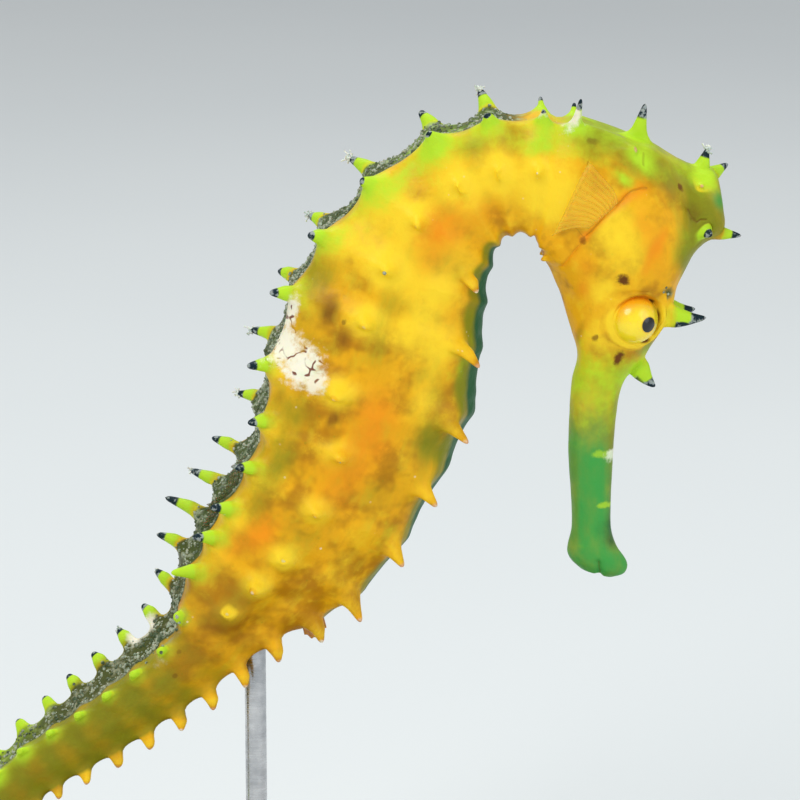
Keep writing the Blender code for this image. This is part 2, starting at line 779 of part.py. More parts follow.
def underside(x, first, last):
    """The lowest height of the body over a rod, between two places of the backbone."""
    lowest = math.inf
    for at in np.arange(first, last, 0.2):
        for around in np.arange(0.0, 8.0, 0.25):
            point = surface(at, around)
            if abs(point.x - x) < ROD_RADIUS + 0.5 and abs(point.y) < ROD_RADIUS + 0.5:
                lowest = min(lowest, point.z)
    return lowest


def build_stand(steel, wood):
    """The base plate and its two rods."""
    place("stand_base", build_plate(), wood)
    x = surface(between(FRONT_ROD_RING), KEEL_LINE).x
    top = underside(x, between(FRONT_ROD_RING - 2), between(FRONT_ROD_RING + 2)) - GAP
    place("stand_rod_front", build_rod(x, top), steel)
    coil = np.arange(RINGS[20], RINGS[32], 0.2)
    lowest = min(coil, key=lambda at: surface(at, MID_BACK).z)
    x = surface(lowest, MID_BACK).x
    top = underside(x, RINGS[20], RINGS[32]) - GAP - 0.5
    place("stand_rod_rear", build_rod(x, top), steel)


# --- assembly -----------------------------------------------------------------------------------------
def material(name, colour, roughness, metallic=0.0):
    """A Principled material."""
    made = bpy.data.materials.new(name)
    made.use_nodes = True
    shader = made.node_tree.nodes["Principled BSDF"]
    shader.inputs["Base Color"].default_value = (*colour, 1.0)
    shader.inputs["Roughness"].default_value = roughness
    shader.inputs["Metallic"].default_value = metallic
    return made


def place(name, mesh, finish):
    """Puts a bmesh into the scene as a named object."""
    data = bpy.data.meshes.new(name)
    mesh.to_mesh(data)
    mesh.free()
    data.materials.append(finish)
    data.shade_smooth()
    data.set_sharp_from_angle(angle=math.radians(40.0))
    made = bpy.data.objects.new(name, data)
    bpy.context.scene.collection.objects.link(made)
    return made


def main():
    """Builds the whole model."""
    for old in list(bpy.data.objects):
        bpy.data.objects.remove(old)
    for name, length in LENGTHS.items():
        skin = material(name + "_skin", (0.80, 0.50, 0.06), 0.55)
        place(name, build_length(name, length), skin)
    eye = material("eye_gold", (0.62, 0.40, 0.05), 0.15)
    hollow_sockets(bpy.data.objects["head"], eye)
    build_ball("eye_right", -1.0, 0.0, eye)
    build_ball("eye_left", 1.0, 0.0, eye)
    place("coronet", build_coronet(), material("coronet_skin", (0.45, 0.48, 0.05), 0.55))
    fin = material("fin_membrane", (0.75, 0.58, 0.15), 0.4)
    place("pectoral_fin_right", build_pectoral(-1), fin)
    place("pectoral_fin_left", build_pectoral(1), fin)
    place("dorsal_fin", build_blade(**DORSAL_FIN), fin)
    place("anal_fin", build_blade(**ANAL_FIN), fin)
    steel = material("rod_steel", (0.55, 0.56, 0.58), 0.3, 1.0)
    wood = material("base_wood", (0.10, 0.055, 0.03), 0.45)
    build_stand(steel, wood)


main()
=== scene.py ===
"""A thorny seahorse as a life-size still model, held by a small display stand.

The animal is one continuous skin. It is grown along a backbone that runs from the tip of the snout to
the tip of the coiled tail, and its spines, crown and eye sockets are stitched into it. The eyes, fins,
encrusting growths and the stand are pieces of their own.

World frame: +Z up, the head at +X facing down, the animal's left side at +Y, and the origin at the
middle of the underside of the stand's base plate. Sizes in the classes are in millimetres.
"""

import logging
import math
from collections.abc import Callable
from dataclasses import dataclass, field
from enum import Enum

import bmesh
import bpy
import numpy as np
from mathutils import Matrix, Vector


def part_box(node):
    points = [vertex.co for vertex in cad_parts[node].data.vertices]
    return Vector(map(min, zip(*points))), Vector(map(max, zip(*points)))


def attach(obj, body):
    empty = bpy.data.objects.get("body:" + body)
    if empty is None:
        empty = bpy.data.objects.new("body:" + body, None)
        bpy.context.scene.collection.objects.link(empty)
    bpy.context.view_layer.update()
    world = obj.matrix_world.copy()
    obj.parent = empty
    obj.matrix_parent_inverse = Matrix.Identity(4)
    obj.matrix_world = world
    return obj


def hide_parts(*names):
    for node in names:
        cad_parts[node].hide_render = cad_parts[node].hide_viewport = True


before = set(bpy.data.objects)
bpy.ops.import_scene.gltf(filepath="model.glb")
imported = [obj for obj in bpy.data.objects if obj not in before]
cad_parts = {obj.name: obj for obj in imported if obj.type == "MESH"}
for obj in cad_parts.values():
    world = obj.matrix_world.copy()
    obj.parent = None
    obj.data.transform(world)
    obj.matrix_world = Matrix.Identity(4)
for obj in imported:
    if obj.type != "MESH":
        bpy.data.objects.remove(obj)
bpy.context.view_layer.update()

LOG = logging.getLogger("seahorse")
MM = 0.001
SIDES = (-1.0, 1.0)

Colour = tuple[float, float, float]
Values = np.ndarray
Point = np.ndarray
Piece = bpy.types.Object
Material = bpy.types.Material
Socket = bpy.types.NodeSocket
Corner = bmesh.types.BMVert


# --- small tools
def eased(value: Values | float, start: float = 0.0, end: float = 1.0) -> Values | float:
    """A smooth step from 0 at the start to 1 at the end, which may lie below the start."""
    share = np.clip((value - start) / (end - start), 0.0, 1.0)
    return share * share * (3.0 - 2.0 * share)


def bell(distance: Values | float, width: float) -> Values | float:
    """A bell curve that is 1 at no distance and falls away over a width."""
    return np.exp(-((distance / width) ** 2))


def between(first: float, second: float, share: float) -> float:
    """The value that lies a share of the way from one value to another."""
    return first + (second - first) * share


def unit(vector: Point) -> Point:
    """The same direction with a length of one."""
    return vector / max(float(np.linalg.norm(vector)), 1e-12)


def smooth_read(at: Values | float, places: tuple, values: tuple) -> Values:
    """Reads a table with a curve that passes through its entries and doesn't overshoot them.

    Args:
        at: Where to read.
        places: The entries' places, rising.
        values: The entries' values.

    Returns:
        The value at each place asked for.
    """
    knots, heights = np.asarray(places, float), np.asarray(values, float)
    at = np.clip(at, knots[0], knots[-1])
    left = np.clip(np.searchsorted(knots, at) - 1, 0, len(knots) - 2)
    rise = np.diff(heights) / np.diff(knots)
    both = rise[:-1] * rise[1:]
    total = np.where(both > 0.0, rise[:-1] + rise[1:], 1.0)
    slopes = np.concatenate([[0.0], np.where(both > 0.0, 2.0 * both / total, 0.0), [0.0]])
    span = knots[left + 1] - knots[left]
    t = (at - knots[left]) / span
    blend = t * t * (3.0 - 2.0 * t)
    bend = t * (1.0 - t) ** 2 * slopes[left] - t * t * (1.0 - t) * slopes[left + 1]
    return heights[left] * (1.0 - blend) + heights[left + 1] * blend + span * bend


def link(name: str, data: bpy.types.ID) -> Piece:
    """Puts a mesh, lamp or camera into the scene.

    Args:
        name: The object's name.
        data: What it shows.

    Returns:
        The new object.
    """
    made = bpy.data.objects.new(name, data)
    bpy.context.scene.collection.objects.link(made)
    return made


def settled(source: Piece, name: str) -> Piece:
    """Turns an object with live modifiers into a plain mesh of its own and removes the source.

    Args:
        source: The object whose modifiers are to be made real.
        name: The name of the finished piece.

    Returns:
        The plain mesh object.
    """
    bpy.context.view_layer.update()
    graph = bpy.context.evaluated_depsgraph_get()
    mesh = bpy.data.meshes.new_from_object(source.evaluated_get(graph))
    bpy.data.objects.remove(source)
    mesh.name = name
    return link(name, mesh)


def registered(piece: Piece, slot: str, *nodes: str) -> Piece:
    """Ties a finished piece to the model and reports it.

    Args:
        piece: The finished mesh object.
        slot: The name of a material slot. Not used.
        nodes: The CAD nodes it stands for.

    Returns:
        The same piece.
    """
    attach(piece, "root")
    if nodes:
        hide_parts(*nodes)
    LOG.info("%s: %d faces", piece.name, len(piece.data.polygons))
    return piece


def lay_bands(
    mesh: bmesh.types.BMesh, rows: list, closed: bool = True, taken: set | frozenset = frozenset()
) -> None:
    """Lays bands of four-sided faces between rows of corners.

    Args:
        mesh: The mesh to add to.
        rows: Rows of as many corners each.
        closed: Whether each row runs round to its start.
        taken: The faces, as (row, column), that are left out.
    """
    for row, (first, second) in enumerate(zip(rows, rows[1:])):
        for column in range(len(first) if closed else len(first) - 1):
            if (row, column) not in taken:
                after = (column + 1) % len(first)
                mesh.faces.new((first[column], first[after], second[after], second[column]))


def solid(mesh: bmesh.types.BMesh, name: str, material: Material | None = None) -> Piece:
    """Turns a mesh in the making into an object with its faces outwards.

    Args:
        mesh: The mesh. It is used up.
        name: The object's name.
        material: Its finish, if it has one yet.

    Returns:
        The object.
    """
    bmesh.ops.recalc_face_normals(mesh, faces=mesh.faces)
    data = bpy.data.meshes.new(name)
    mesh.to_mesh(data)
    mesh.free()
    data.shade_smooth()
    if material:
        data.materials.append(material)
    return link(name, data)


def read(source: bpy.types.bpy_prop_collection, key: str, width: int = 1) -> Values:
    """Reads one number or one vector of every item of a mesh.

    Args:
        source: The items.
        key: What to read of them.
        width: How many numbers it has.

    Returns:
        The numbers, in rows where there is more than one for an item.
    """
    values = np.zeros(len(source) * width, np.float32)
    source.foreach_get(key, values)
    values = values.astype(float)
    return values if width == 1 else values.reshape(-1, width)


def write(mesh: bpy.types.Mesh, name: str, values: Values | list) -> None:
    """Writes a named reading on the corners of a mesh."""
    layer = mesh.attributes.new(name, "FLOAT", "POINT")
    layer.data.foreach_set("value", np.asarray(values, np.float32))


def bent_lines(name: str, points: list[Point], edges: list[tuple], thick: list[float]) -> Piece:
    """Lines that a tree can sweep into tubes.

    Args:
        name: The object's name.
        points: The lines' points in millimetres.
        edges: Which points are joined.
        thick: How thick the tube is at each point.

    Returns:
        The lines as an object.
    """
    data = bpy.data.meshes.new(name)
    data.from_pydata([tuple(point * MM) for point in points], edges, [])
    write(data, "thick", thick)
    return link(name, data)


# --- backbone
@dataclass
class Backbone:
    """The line that the whole animal follows, in the upright plane.

    Each bend is a stretch's length and the heading at its far end, in degrees. The coil follows the bends.
    """

    snout_tip: tuple = (17.4, 40.5)
    first_heading: float = 92.0
    ease: float = 2.5
    sample: float = 0.05
    coil_length: float = 41.9
    coil_radius: float = 8.6
    coil_tip_radius: float = 1.4
    snout: tuple = ((13.6, 88.5),)
    head: tuple = ((5.0, 71.0), (4.6, 84.0), (4.0, 112.0))
    neck: tuple = ((6.6, 170.0), (3.4, 190.0), (6.2, 232.0))
    trunk: tuple = ((6.0, 250.0), (10.8, 257.0), (9.0, 237.0), (6.0, 226.0), (6.0, 222.0))
    tail: tuple = ((14.0, 214.0), (9.5, 262.0))
    rolls: tuple = ((54.0, 0.0), (61.0, 7.0), (70.0, 12.0), (78.0, 16.0), (88.0, 15.0), (104.0, 0.0))
    places: Values = field(init=False)
    points: Point = field(init=False)
    headings: Values = field(init=False)
    end: float = field(init=False)

    def __post_init__(self) -> None:
        """Samples the line once."""
        bends = self.snout + self.head + self.neck + self.trunk + self.tail
        bent = sum(length for length, _ in bends)
        self.end = bent + self.coil_length
        self.places = np.arange(0.0, self.end + self.sample, self.sample)
        curve = self._curvature(bends, bent)
        turned = np.concatenate([[0.0], np.cumsum((curve[1:] + curve[:-1]) * 0.5 * self.sample)])
        self.headings = math.radians(self.first_heading) + turned
        steps = np.stack([np.cos(self.headings), np.sin(self.headings)], axis=1)
        run = np.cumsum((steps[1:] + steps[:-1]) * 0.5 * self.sample, axis=0)
        self.points = np.array(self.snout_tip) + np.concatenate([[[0.0, 0.0]], run])

    def _curvature(self, bends: tuple, bent: float) -> Values:
        """How fast the heading turns at each sample.

        Args:
            bends: All bends.
            bent: The place where they end and the coil starts.

        Returns:
            Curvature in radians per millimetre, eased over each joint of two stretches.
        """
        curve = np.zeros_like(self.places)
        start, heading = 0.0, self.first_heading
        for length, far_heading in bends:
            inside = (self.places >= start) & (self.places < start + length)
            curve[inside] = math.radians(far_heading - heading) / length
            start, heading = start + length, far_heading
        coiled = self.places >= bent
        share = np.minimum((self.places[coiled] - bent) / self.coil_length, 1.0)
        curve[coiled] = 1.0 / between(self.coil_radius, self.coil_tip_radius, share)
        window = int(self.ease / self.sample)
        padded = np.concatenate([np.full(window, curve[0]), curve, np.full(window, curve[-1])])
        return np.convolve(padded, np.ones(window) / window, "same")[window:-window]

    def frames(self, at: Values, rolled: bool = True) -> tuple[Point, Point, Point, Point]:
        """Centres and directions at several places.

        Args:
            at: Places along the line.
            rolled: Whether the directions turn with the body's roll.

        Returns:
            The centres, and the unit directions towards the tail, the back and the left.
        """
        at = np.atleast_1d(np.asarray(at, float))
        zero = np.zeros_like(at)
        x, z = (np.interp(at, self.places, self.points[:, axis]) for axis in (0, 1))
        heading = np.interp(at, self.places, self.headings)
        centre = np.stack([x, zero, z], axis=1)
        along = np.stack([np.cos(heading), zero, np.sin(heading)], axis=1)
        back = np.stack([np.sin(heading), zero, -np.cos(heading)], axis=1)
        left = np.stack([zero, zero + 1.0, zero], axis=1)
        if not rolled:
            return centre, along, back, left
        roll = np.radians(smooth_read(at, *zip(*self.rolls)))[:, None]
        cos, sin = np.cos(roll), np.sin(roll)
        return centre, along, back * cos - left * sin, left * cos + back * sin

    def frame(self, at: float) -> tuple[Point, Point, Point, Point]:
        """Centre and directions at one place."""
        return tuple(values[0] for values in self.frames(np.array([at])))


# --- spines
class SpineKind(Enum):
    """What a spine looks like, as how much of it is lime. A lime spine has a dark tip."""

    LIME = 1.0
    PALE = 0.0


@dataclass(frozen=True)
class Spine:
    """A spine on the skin. Lean tips it towards the tail and splay towards its own side, in degrees."""

    at: float
    around: float
    length: float
    lean: float = 8.0
    splay: float = 0.0
    foot: float = 0.62
    tip: float = 0.2
    kind: SpineKind = SpineKind.LIME
    boss: float = 0.25
    boss_width: float = 1.0
    curl: float = 0.0
    reach: float = 0.42


@dataclass(frozen=True)
class RingSpines:
    """Spine lengths on one ring, the lean of its superior pair and how far they stand off it."""

    right: float
    left: float
    lateral: float = 0.0
    inferior: float = 0.0
    lean: float = 8.0
    right_shift: float = 0.0
    left_shift: float = 0.0
    inferior_shift: float = 0.0
    lateral_turn: float = 0.0


@dataclass
class Rings:
    """The body's rings, counted from the shoulder, and the spines that stand on them."""

    first: float = 33.0
    trunk_steps: tuple = (1.6, 2.8, 2.9, 3.8, 3.9, 4.0, 5.5, 4.4, 4.6, 4.4)
    tail_count: int = 35
    tail_step: float = 3.05
    tail_ratio: float = 0.979
    sizes: tuple = (
        RingSpines(2.5, 1.0),
        RingSpines(0.9, 1.0, 0.5),
        RingSpines(0.8, 2.0, 0.6),
        RingSpines(0.85, 1.8, 0.6),
        RingSpines(0.9, 2.1, 0.8),
        RingSpines(1.3, 1.5, 0.7, 1.4, inferior_shift=-2.0),
        RingSpines(1.8, 1.4, 0.9, 2.1),
        RingSpines(2.1, 2.4, 1.1, 2.1, 10.0, -0.5, -1.2, 0.9, 0.14),
        RingSpines(1.8, 2.0, 0.9, 1.9, 10.0, -0.9, -0.9, 1.2),
        RingSpines(2.0, 2.1, 0.8, 1.7, 10.0, -0.9, 0.0, 0.7),
        RingSpines(2.2, 2.5, 0.4, 2.0, 14.0, -0.9, -0.5, 0.4),
        RingSpines(2.4, 3.0, 1.2, 1.5, 20.0, -1.0, -0.3),
        RingSpines(2.6, 2.2, 0.4, 1.3, 26.0, -0.7, -0.2),
    )
    tail_size: RingSpines = RingSpines(0.8, 1.7, 0.0, 1.4)
    tail_shrink: float = 0.92
    inferior_lean: float = 25.0
    places: list = field(init=False)

    def __post_init__(self) -> None:
        """Lays out the rings."""
        tail = tuple(self.tail_step * self.tail_ratio**index for index in range(self.tail_count))
        self.places = [self.first]
        for step in self.trunk_steps + tail:
            self.places.append(self.places[-1] + step)

    def valley_share(self, at: float) -> float:
        """How deep between two rings a place lies.

        Args:
            at: The place along the backbone.

        Returns:
            0 on a ring and 1 halfway between two, rising fast near the ring.
        """
        if at <= self.places[0] or at >= self.places[-1]:
            return 0.0
        after = next(index for index, ring in enumerate(self.places) if ring >= at)
        middle = 0.5 * (self.places[after - 1] + self.places[after])
        half = 0.5 * (self.places[after] - self.places[after - 1])
        return 1.0 - (abs(at - middle) / half) ** 2

    def size_of(self, number: int) -> RingSpines:
        """The spine lengths of one ring.

        Args:
            number: The ring, counted from the shoulder.

        Returns:
            The lengths, which shrink ring by ring along the tail.
        """
        if number < len(self.sizes):
            return self.sizes[number]
        share, tail = self.tail_shrink ** (number - len(self.sizes)), self.tail_size
        return RingSpines(tail.right * share, tail.left * share, 0.0, tail.inferior * share)

    def spines(self, number: int) -> list[Spine]:
        """The spines of one ring.

        Args:
            number: The ring, counted from the shoulder.

        Returns:
            Its superior, lateral and inferior spines.
        """
        at, size = self.places[number], self.size_of(number)
        others = [self.places[other] for other in (number - 1, number + 1) if 0 <= other < len(self.places)]
        gap = min(abs(at - other) for other in others)
        girth = min(1.0, 0.36 * gap)
        broad = 1.0 + 0.6 * float(bell(number - 3.0, 2.5))
        lift = 0.34 if number > 1 else 0.12
        superior = (size.lean, SpineKind.LIME, lift, broad)
        lateral = (size.lateral * 1.2, 0.0, 14.0, SpineKind.PALE, 0.62, 1.1)
        inferior = (size.inferior, size.inferior_shift, self.inferior_lean, SpineKind.PALE, 0.28, 0.9)
        made = []
        for around, length, shift, lean, kind, boss, width in (
            (1.0, size.left, size.left_shift, *superior),
            (7.0, size.right, size.right_shift, *superior),
            (2.0 - size.lateral_turn, *lateral),
            (6.0 + size.lateral_turn, *lateral),
            (3.0, *inferior),
            (5.0, *inferior),
        ):
            if length > 0.0:
                foot = (0.68 if length > 1.0 else 0.52) * girth
                tip = (0.2 if kind is SpineKind.LIME else 0.17) * girth
                rise, reach = boss * girth, min(0.42, 0.21 * gap)
                ends = (foot, tip, kind, rise, width * girth, 0.0, reach)
                made.append(Spine(at + shift, around, length, lean, 0.0, *ends))
        return made


# --- body
@dataclass
class Body:
    """The bare shape of the animal round its backbone, without its spines.

    Around runs from 0 at the middle of the back to 4 at the keel down the left side, and on to 8 up the
    right side, with a ridge at each whole number. Each girth is a place and the section's half sizes there
    to the back, to the belly and to the side.
    """

    line: Backbone
    rings: Rings
    head_girths: tuple = (
        (0.0, 1.5, 1.1, 0.6),
        (0.4, 2.3, 1.7, 0.95),
        (1.2, 2.6, 1.95, 1.2),
        (2.4, 1.75, 1.85, 1.3),
        (4.2, 1.25, 1.55, 1.2),
        (10.5, 1.45, 1.9, 1.4),
        (15.6, 2.0, 1.85, 1.7),
        (17.4, 2.8, 2.4, 2.1),
        (20.0, 3.7, 4.0, 2.65),
        (22.6, 4.1, 5.2, 3.1),
        (25.3, 5.6, 5.75, 3.6),
        (28.6, 5.9, 5.75, 3.5),
        (30.8, 4.5, 5.7, 3.3),
    )
    body_girths: tuple = (
        (33.0, 3.9, 5.3, 3.2),
        (37.4, 3.85, 4.95, 3.6),
        (44.1, 5.0, 5.6, 4.3),
        (52.0, 6.75, 7.0, 5.0),
        (57.5, 7.0, 7.85, 5.2),
        (64.0, 6.6, 6.75, 5.0),
        (70.9, 6.6, 6.0, 4.4),
        (77.3, 5.3, 3.7, 3.4),
        (82.0, 2.4, 3.2, 2.9),
        (89.0, 2.15, 2.75, 2.6),
        (96.0, 1.95, 2.3, 2.35),
        (145.8, 0.45, 0.45, 0.4),
        (146.6, 0.22, 0.22, 0.2),
    )
    keel: tuple = (
        (34.0, 0.2), (42.0, 0.6), (48.0, 1.2), (57.0, 1.3),
        (68.0, 1.2), (73.0, 1.0), (79.0, 0.3), (90.0, 0.1),
    )
    inferior_lift: tuple = ((39.0, 0.0), (46.0, 0.4), (60.0, 0.35), (68.0, 0.0))
    ridged: tuple = (19.0, 34.0)
    tail: tuple = (70.0, 84.0)
    lip_slant: float = 0.34
    lip_lift: float = 0.5
    lip_length: float = 4.0
    superior: tuple = (0.72, 0.94)
    inferior: tuple = (0.62, 0.90)
    lateral: float = 0.43
    back_hollow: float = 0.35
    bulge: tuple = (0.10, 0.04)
    narrow_trunk: float = 3.6
    valleys: tuple = (0.5, 0.75, 0.3, 0.5, 0.3)
    softness: float = 0.13
    bosses: list = field(default_factory=list)

    def _corners(self, at: float) -> tuple[Values, float]:
        """Corners of the half section at one place.

        Args:
            at: The place along the backbone.

        Returns:
            Mid back, superior, lateral and inferior ridge and keel as (side, back), and the bulge between.
        """
        knots, *girths = zip(*self.head_girths, *self.body_girths)
        up, down, wide = (float(smooth_read(at, knots, sizes)) for sizes in girths)
        keel, lift = (float(smooth_read(at, *zip(*table))) for table in (self.keel, self.inferior_lift))
        ridged, tail = float(eased(at, *self.ridged)), float(eased(at, *self.tail))
        superior, inferior = between(*self.superior, tail), between(*self.inferior, tail)
        slant = math.sqrt(0.5)
        oval = np.array(
            [(0.0, up), (slant * wide, slant * up), (wide, 0.0), (slant * wide, -slant * down), (0.0, -down)]
        )
        ridge = np.array([
            (0.0, up - self.back_hollow),
            (superior * wide, up),
            (wide, up - self.lateral * (up + down)),
            (inferior * wide, -down + lift),
            (0.0, -down - keel),
        ])
        corners = between(oval, ridge, ridged)
        depth = self.rings.valley_share(at) * min(1.0, wide / self.narrow_trunk)
        for corner, pull in enumerate(self.valleys):
            pull *= depth * (1.0 - tail if corner in (2, 4) else 1.0)
            corners[corner] *= 1.0 - pull / np.linalg.norm(corners[corner])
        return corners, between(*self.bulge, ridged)

    @staticmethod
    def _read(corners: Values, bulge: float, around: Values) -> Values:
        """Points of the section's outline.

        Args:
            corners: The half section's corners.
            bulge: How far the outline swells between corners, as a share of the chord.
            around: Where to read it.

        Returns:
            The points as (side, back).
        """
        around = np.mod(around, 8.0)
        mirror = np.where(around > 4.0, -1.0, 1.0)
        around = np.where(around > 4.0, 8.0 - around, around)
        corner = np.minimum(around.astype(int), 3)
        share = (around - corner)[:, None]
        first, second = corners[corner], corners[corner + 1]
        chord = second - first
        outward = np.stack([-chord[:, 1], chord[:, 0]], axis=1)
        points = first + chord * share + outward * bulge * 4.0 * share * (1.0 - share)
        points[:, 0] *= mirror
        return points

    def outline(self, at: float, around: Values) -> Values:
        """The section's outline with its ridges softened.

        Args:
            at: The place along the backbone.
            around: Where to read it.

        Returns:
            The points as (side, back).
        """
        corners, bulge = self._corners(at)
        around = np.atleast_1d(np.asarray(around, float))
        shifts = (0.0, -self.softness, self.softness)
        middle, before, after = (self._read(corners, bulge, around + shift) for shift in shifts)
        return 0.5 * middle + 0.25 * (before + after)

    def row(self, at: float, around: Values) -> Point:
        """Points of the bare skin at one place.

        Args:
            at: The place along the backbone.
            around: Where round the body.

        Returns:
            The points in millimetres.
        """
        centre, along, back, left = self.line.frame(at)
        flat = self.outline(at, around)
        lips = 1.0 - float(eased(at / self.lip_length))
        side, height = flat[:, :1], flat[:, 1:]
        lean = lips * (self.lip_lift - self.lip_slant * height)
        return centre + left * side + back * height + along * lean

    def point(self, at: float, around: float) -> Point:
        """One point of the bare skin."""
        return self.row(at, np.array([around]))[0]

    def outward(self, at: float, around: float) -> Point:
        """The direction away from the backbone through a point of the skin.

        Args:
            at: The place along the backbone.
            around: Where round the body.

        Returns:
            The unit direction.
        """
        _, _, back, left = self.line.frame(at)
        side, height = self.outline(at, np.array([around]))[0]
        return unit(left * side + back * height)

    def plant(self, spines: list[Spine]) -> None:
        """Remembers where the low bosses under the spines rise."""
        for spine in spines:
            root, away = self.point(spine.at, spine.around), self.outward(spine.at, spine.around)
            self.bosses.append((spine.at, root, away, spine.boss, spine.boss_width))

    def swollen(self, at: float, points: Point) -> Point:
        """Raises points of the skin over the bosses near them.

        Args:
            at: The place of these points along the backbone.
            points: Points of the bare skin.

        Returns:
            The raised points.
        """
        raised = points.copy()
        for place, root, away, height, width in self.bosses:
            if abs(place - at) < 3.0 * width:
                gap = points - root
                flat = gap - np.outer(gap @ away, away)
                raised += np.outer(height * bell(np.linalg.norm(flat, axis=1), width), away)
        return raised


@dataclass(frozen=True)
class CrownSpine:
    """A spine of the crown: its turn from the tail side, and where its foot and its tip are."""

    turn: float
    level: int
    root: float
    height: float
    reach: float
    foot: float = 0.72


@dataclass
class Crown:
    """The coronet: a broad low column on the back of the head with spines that stand out from it.

    Each level is a height and the column's half sizes there, along the body and across it.
    """

    body: Body
    at: float = 26.8
    half: float = 2.0
    half_columns: int = 6
    tilt: float = 10.0
    shift: float = -0.35
    opening: tuple = (2.2, 2.5)
    levels: tuple = (
        (0.42, 2.95, 2.4), (1.05, 2.72, 2.2), (1.65, 2.6, 2.1), (2.1, 2.3, 1.85), (2.25, 1.4, 1.15),
    )
    top: float = 2.15
    spines: tuple = (
        CrownSpine(0.0, 2, 1.15, 1.85, 3.95),
        CrownSpine(45.0, 3, 1.9, 3.3, 3.05),
        CrownSpine(118.0, 2, 1.2, 1.9, 3.5),
        CrownSpine(184.0, 3, 1.6, 3.3, 2.9, 0.66),
        CrownSpine(231.0, 1, 0.5, 0.95, 3.3, 0.8),
        CrownSpine(306.0, 2, 0.8, 0.85, 2.75, 0.3),
    )

    def directions(self) -> tuple[Point, Point, Point, Point]:
        """The crown's foot and its directions up its axis, towards the tail and to the left."""
        heading = math.radians(self.tilt)
        axis = np.array([math.cos(heading), 0.0, math.sin(heading)])
        tailward = np.array([-math.sin(heading), 0.0, math.cos(heading)])
        foot = self.body.point(self.at, 0.0) + tailward * self.shift
        return foot, axis, tailward, np.array([0.0, 1.0, 0.0])

    def point(self, turn: float, height: float, long: float, across: float) -> Point:
        """A point on the crown.

        Args:
            turn: The turn from the tail side towards the left, in degrees.
            height: Height above the head.
            long: Half size along the body.
            across: Half size across the body.

        Returns:
            The point in millimetres.
        """
        foot, axis, tailward, left = self.directions()
        turn = math.radians(turn)
        return foot + axis * height + tailward * (long * math.cos(turn)) + left * (across * math.sin(turn))

    def order(self, ring: list[Corner]) -> list[Corner]:
        """Puts a ring of corners in the order of their turns.

        Args:
            ring: Corners of the opening in the skin.

        Returns:
            The same corners, starting with the one nearest to the tail side.
        """
        foot, _, tailward, left = self.directions()
        long, across = self.opening
        turns = []
        for corner in ring:
            gap = np.array(corner.co) / MM - foot
            turns.append(math.degrees(math.atan2(gap @ left / across, gap @ tailward / long)))
        rising = sorted(range(len(ring)), key=lambda index: turns[index])
        start = min(range(len(ring)), key=lambda index: abs(turns[rising[index]]))
        return [ring[rising[(start + step) % len(ring)]] for step in range(len(ring))]


# --- the net of the skin
class Reading(Enum):
    """What each corner of the skin's net carries along for carving and colouring."""

    PLACE = "place"
    TURN_UP = "turn_up"
    TURN_SIDE = "turn_side"
    SHARE = "spine_share"
    LIME = "spine_lime"
    CROWN = "crown"


class Net:
    """A net of four-sided faces whose corners carry readings."""

    def __init__(self) -> None:
        """Starts an empty net."""
        self.mesh = bmesh.new()
        self.layers = {reading: self.mesh.verts.layers.float.new(reading.value) for reading in Reading}

    def corner(self, point: Point, at: float, around: float, **more: float) -> Corner:
        """Adds a corner.

        Args:
            point: Where it is, in millimetres.
            at: Its place along the backbone.
            around: Where it is round the body.
            more: The readings share, lime and crown where they aren't zero.

        Returns:
            The new corner.
        """
        made, turn = self.mesh.verts.new(Vector(point) * MM), around * math.pi / 4.0
        extra = (more.get(key, 0.0) for key in ("share", "lime", "crown"))
        for layer, value in zip(self.layers.values(), (at, math.cos(turn), math.sin(turn), *extra)):
            made[layer] = value
        return made

    def cap(self, loop: list[Corner], middle: Corner) -> None:
        """Closes a loop of an even count of corners with four-sided faces to one corner."""
        for index in range(0, len(loop), 2):
            self.mesh.faces.new((loop[index], loop[index + 1], loop[(index + 2) % len(loop)], middle))

    def grow_spine(self, ring: list[Corner], root: Point, tip: Point, spine: Spine, along: Point) -> None:
        """Grows a spine out of a ring of corners.

        Args:
            ring: The ring it stands on.
            root: Middle of its foot.
            tip: Its point.
            spine: Its sizes and kind.
            along: The direction towards the tail, in which it may curl.
        """
        curl = along * spine.curl
        axis, length = unit(tip - root), float(np.linalg.norm(tip - root))
        shares = (0.12, 0.36, 0.62, 0.86) if length > 0.9 else (0.25, 0.75)
        loops = [ring]
        for share in shares:
            radius = spine.tip + (spine.foot - spine.tip) * (1.0 - share) ** 1.25
            centre = root + axis * (length * share) - curl * 4.0 * share * (1.0 - share)
            loop = []
            for corner in ring:
                offset = np.array(corner.co) / MM - centre
                offset = unit(offset - axis * (offset @ axis))
                place = spine.at + float(offset @ along) * radius
                readings = {"share": share, "lime": spine.kind.value}
                loop.append(self.corner(centre + offset * radius, place, spine.around, **readings))
            loops.append(loop)
        lay_bands(self.mesh, loops)
        end = self.corner(tip + axis * 0.04, spine.at, spine.around, share=1.0, lime=spine.kind.value)
        self.cap(loops[-1], end)


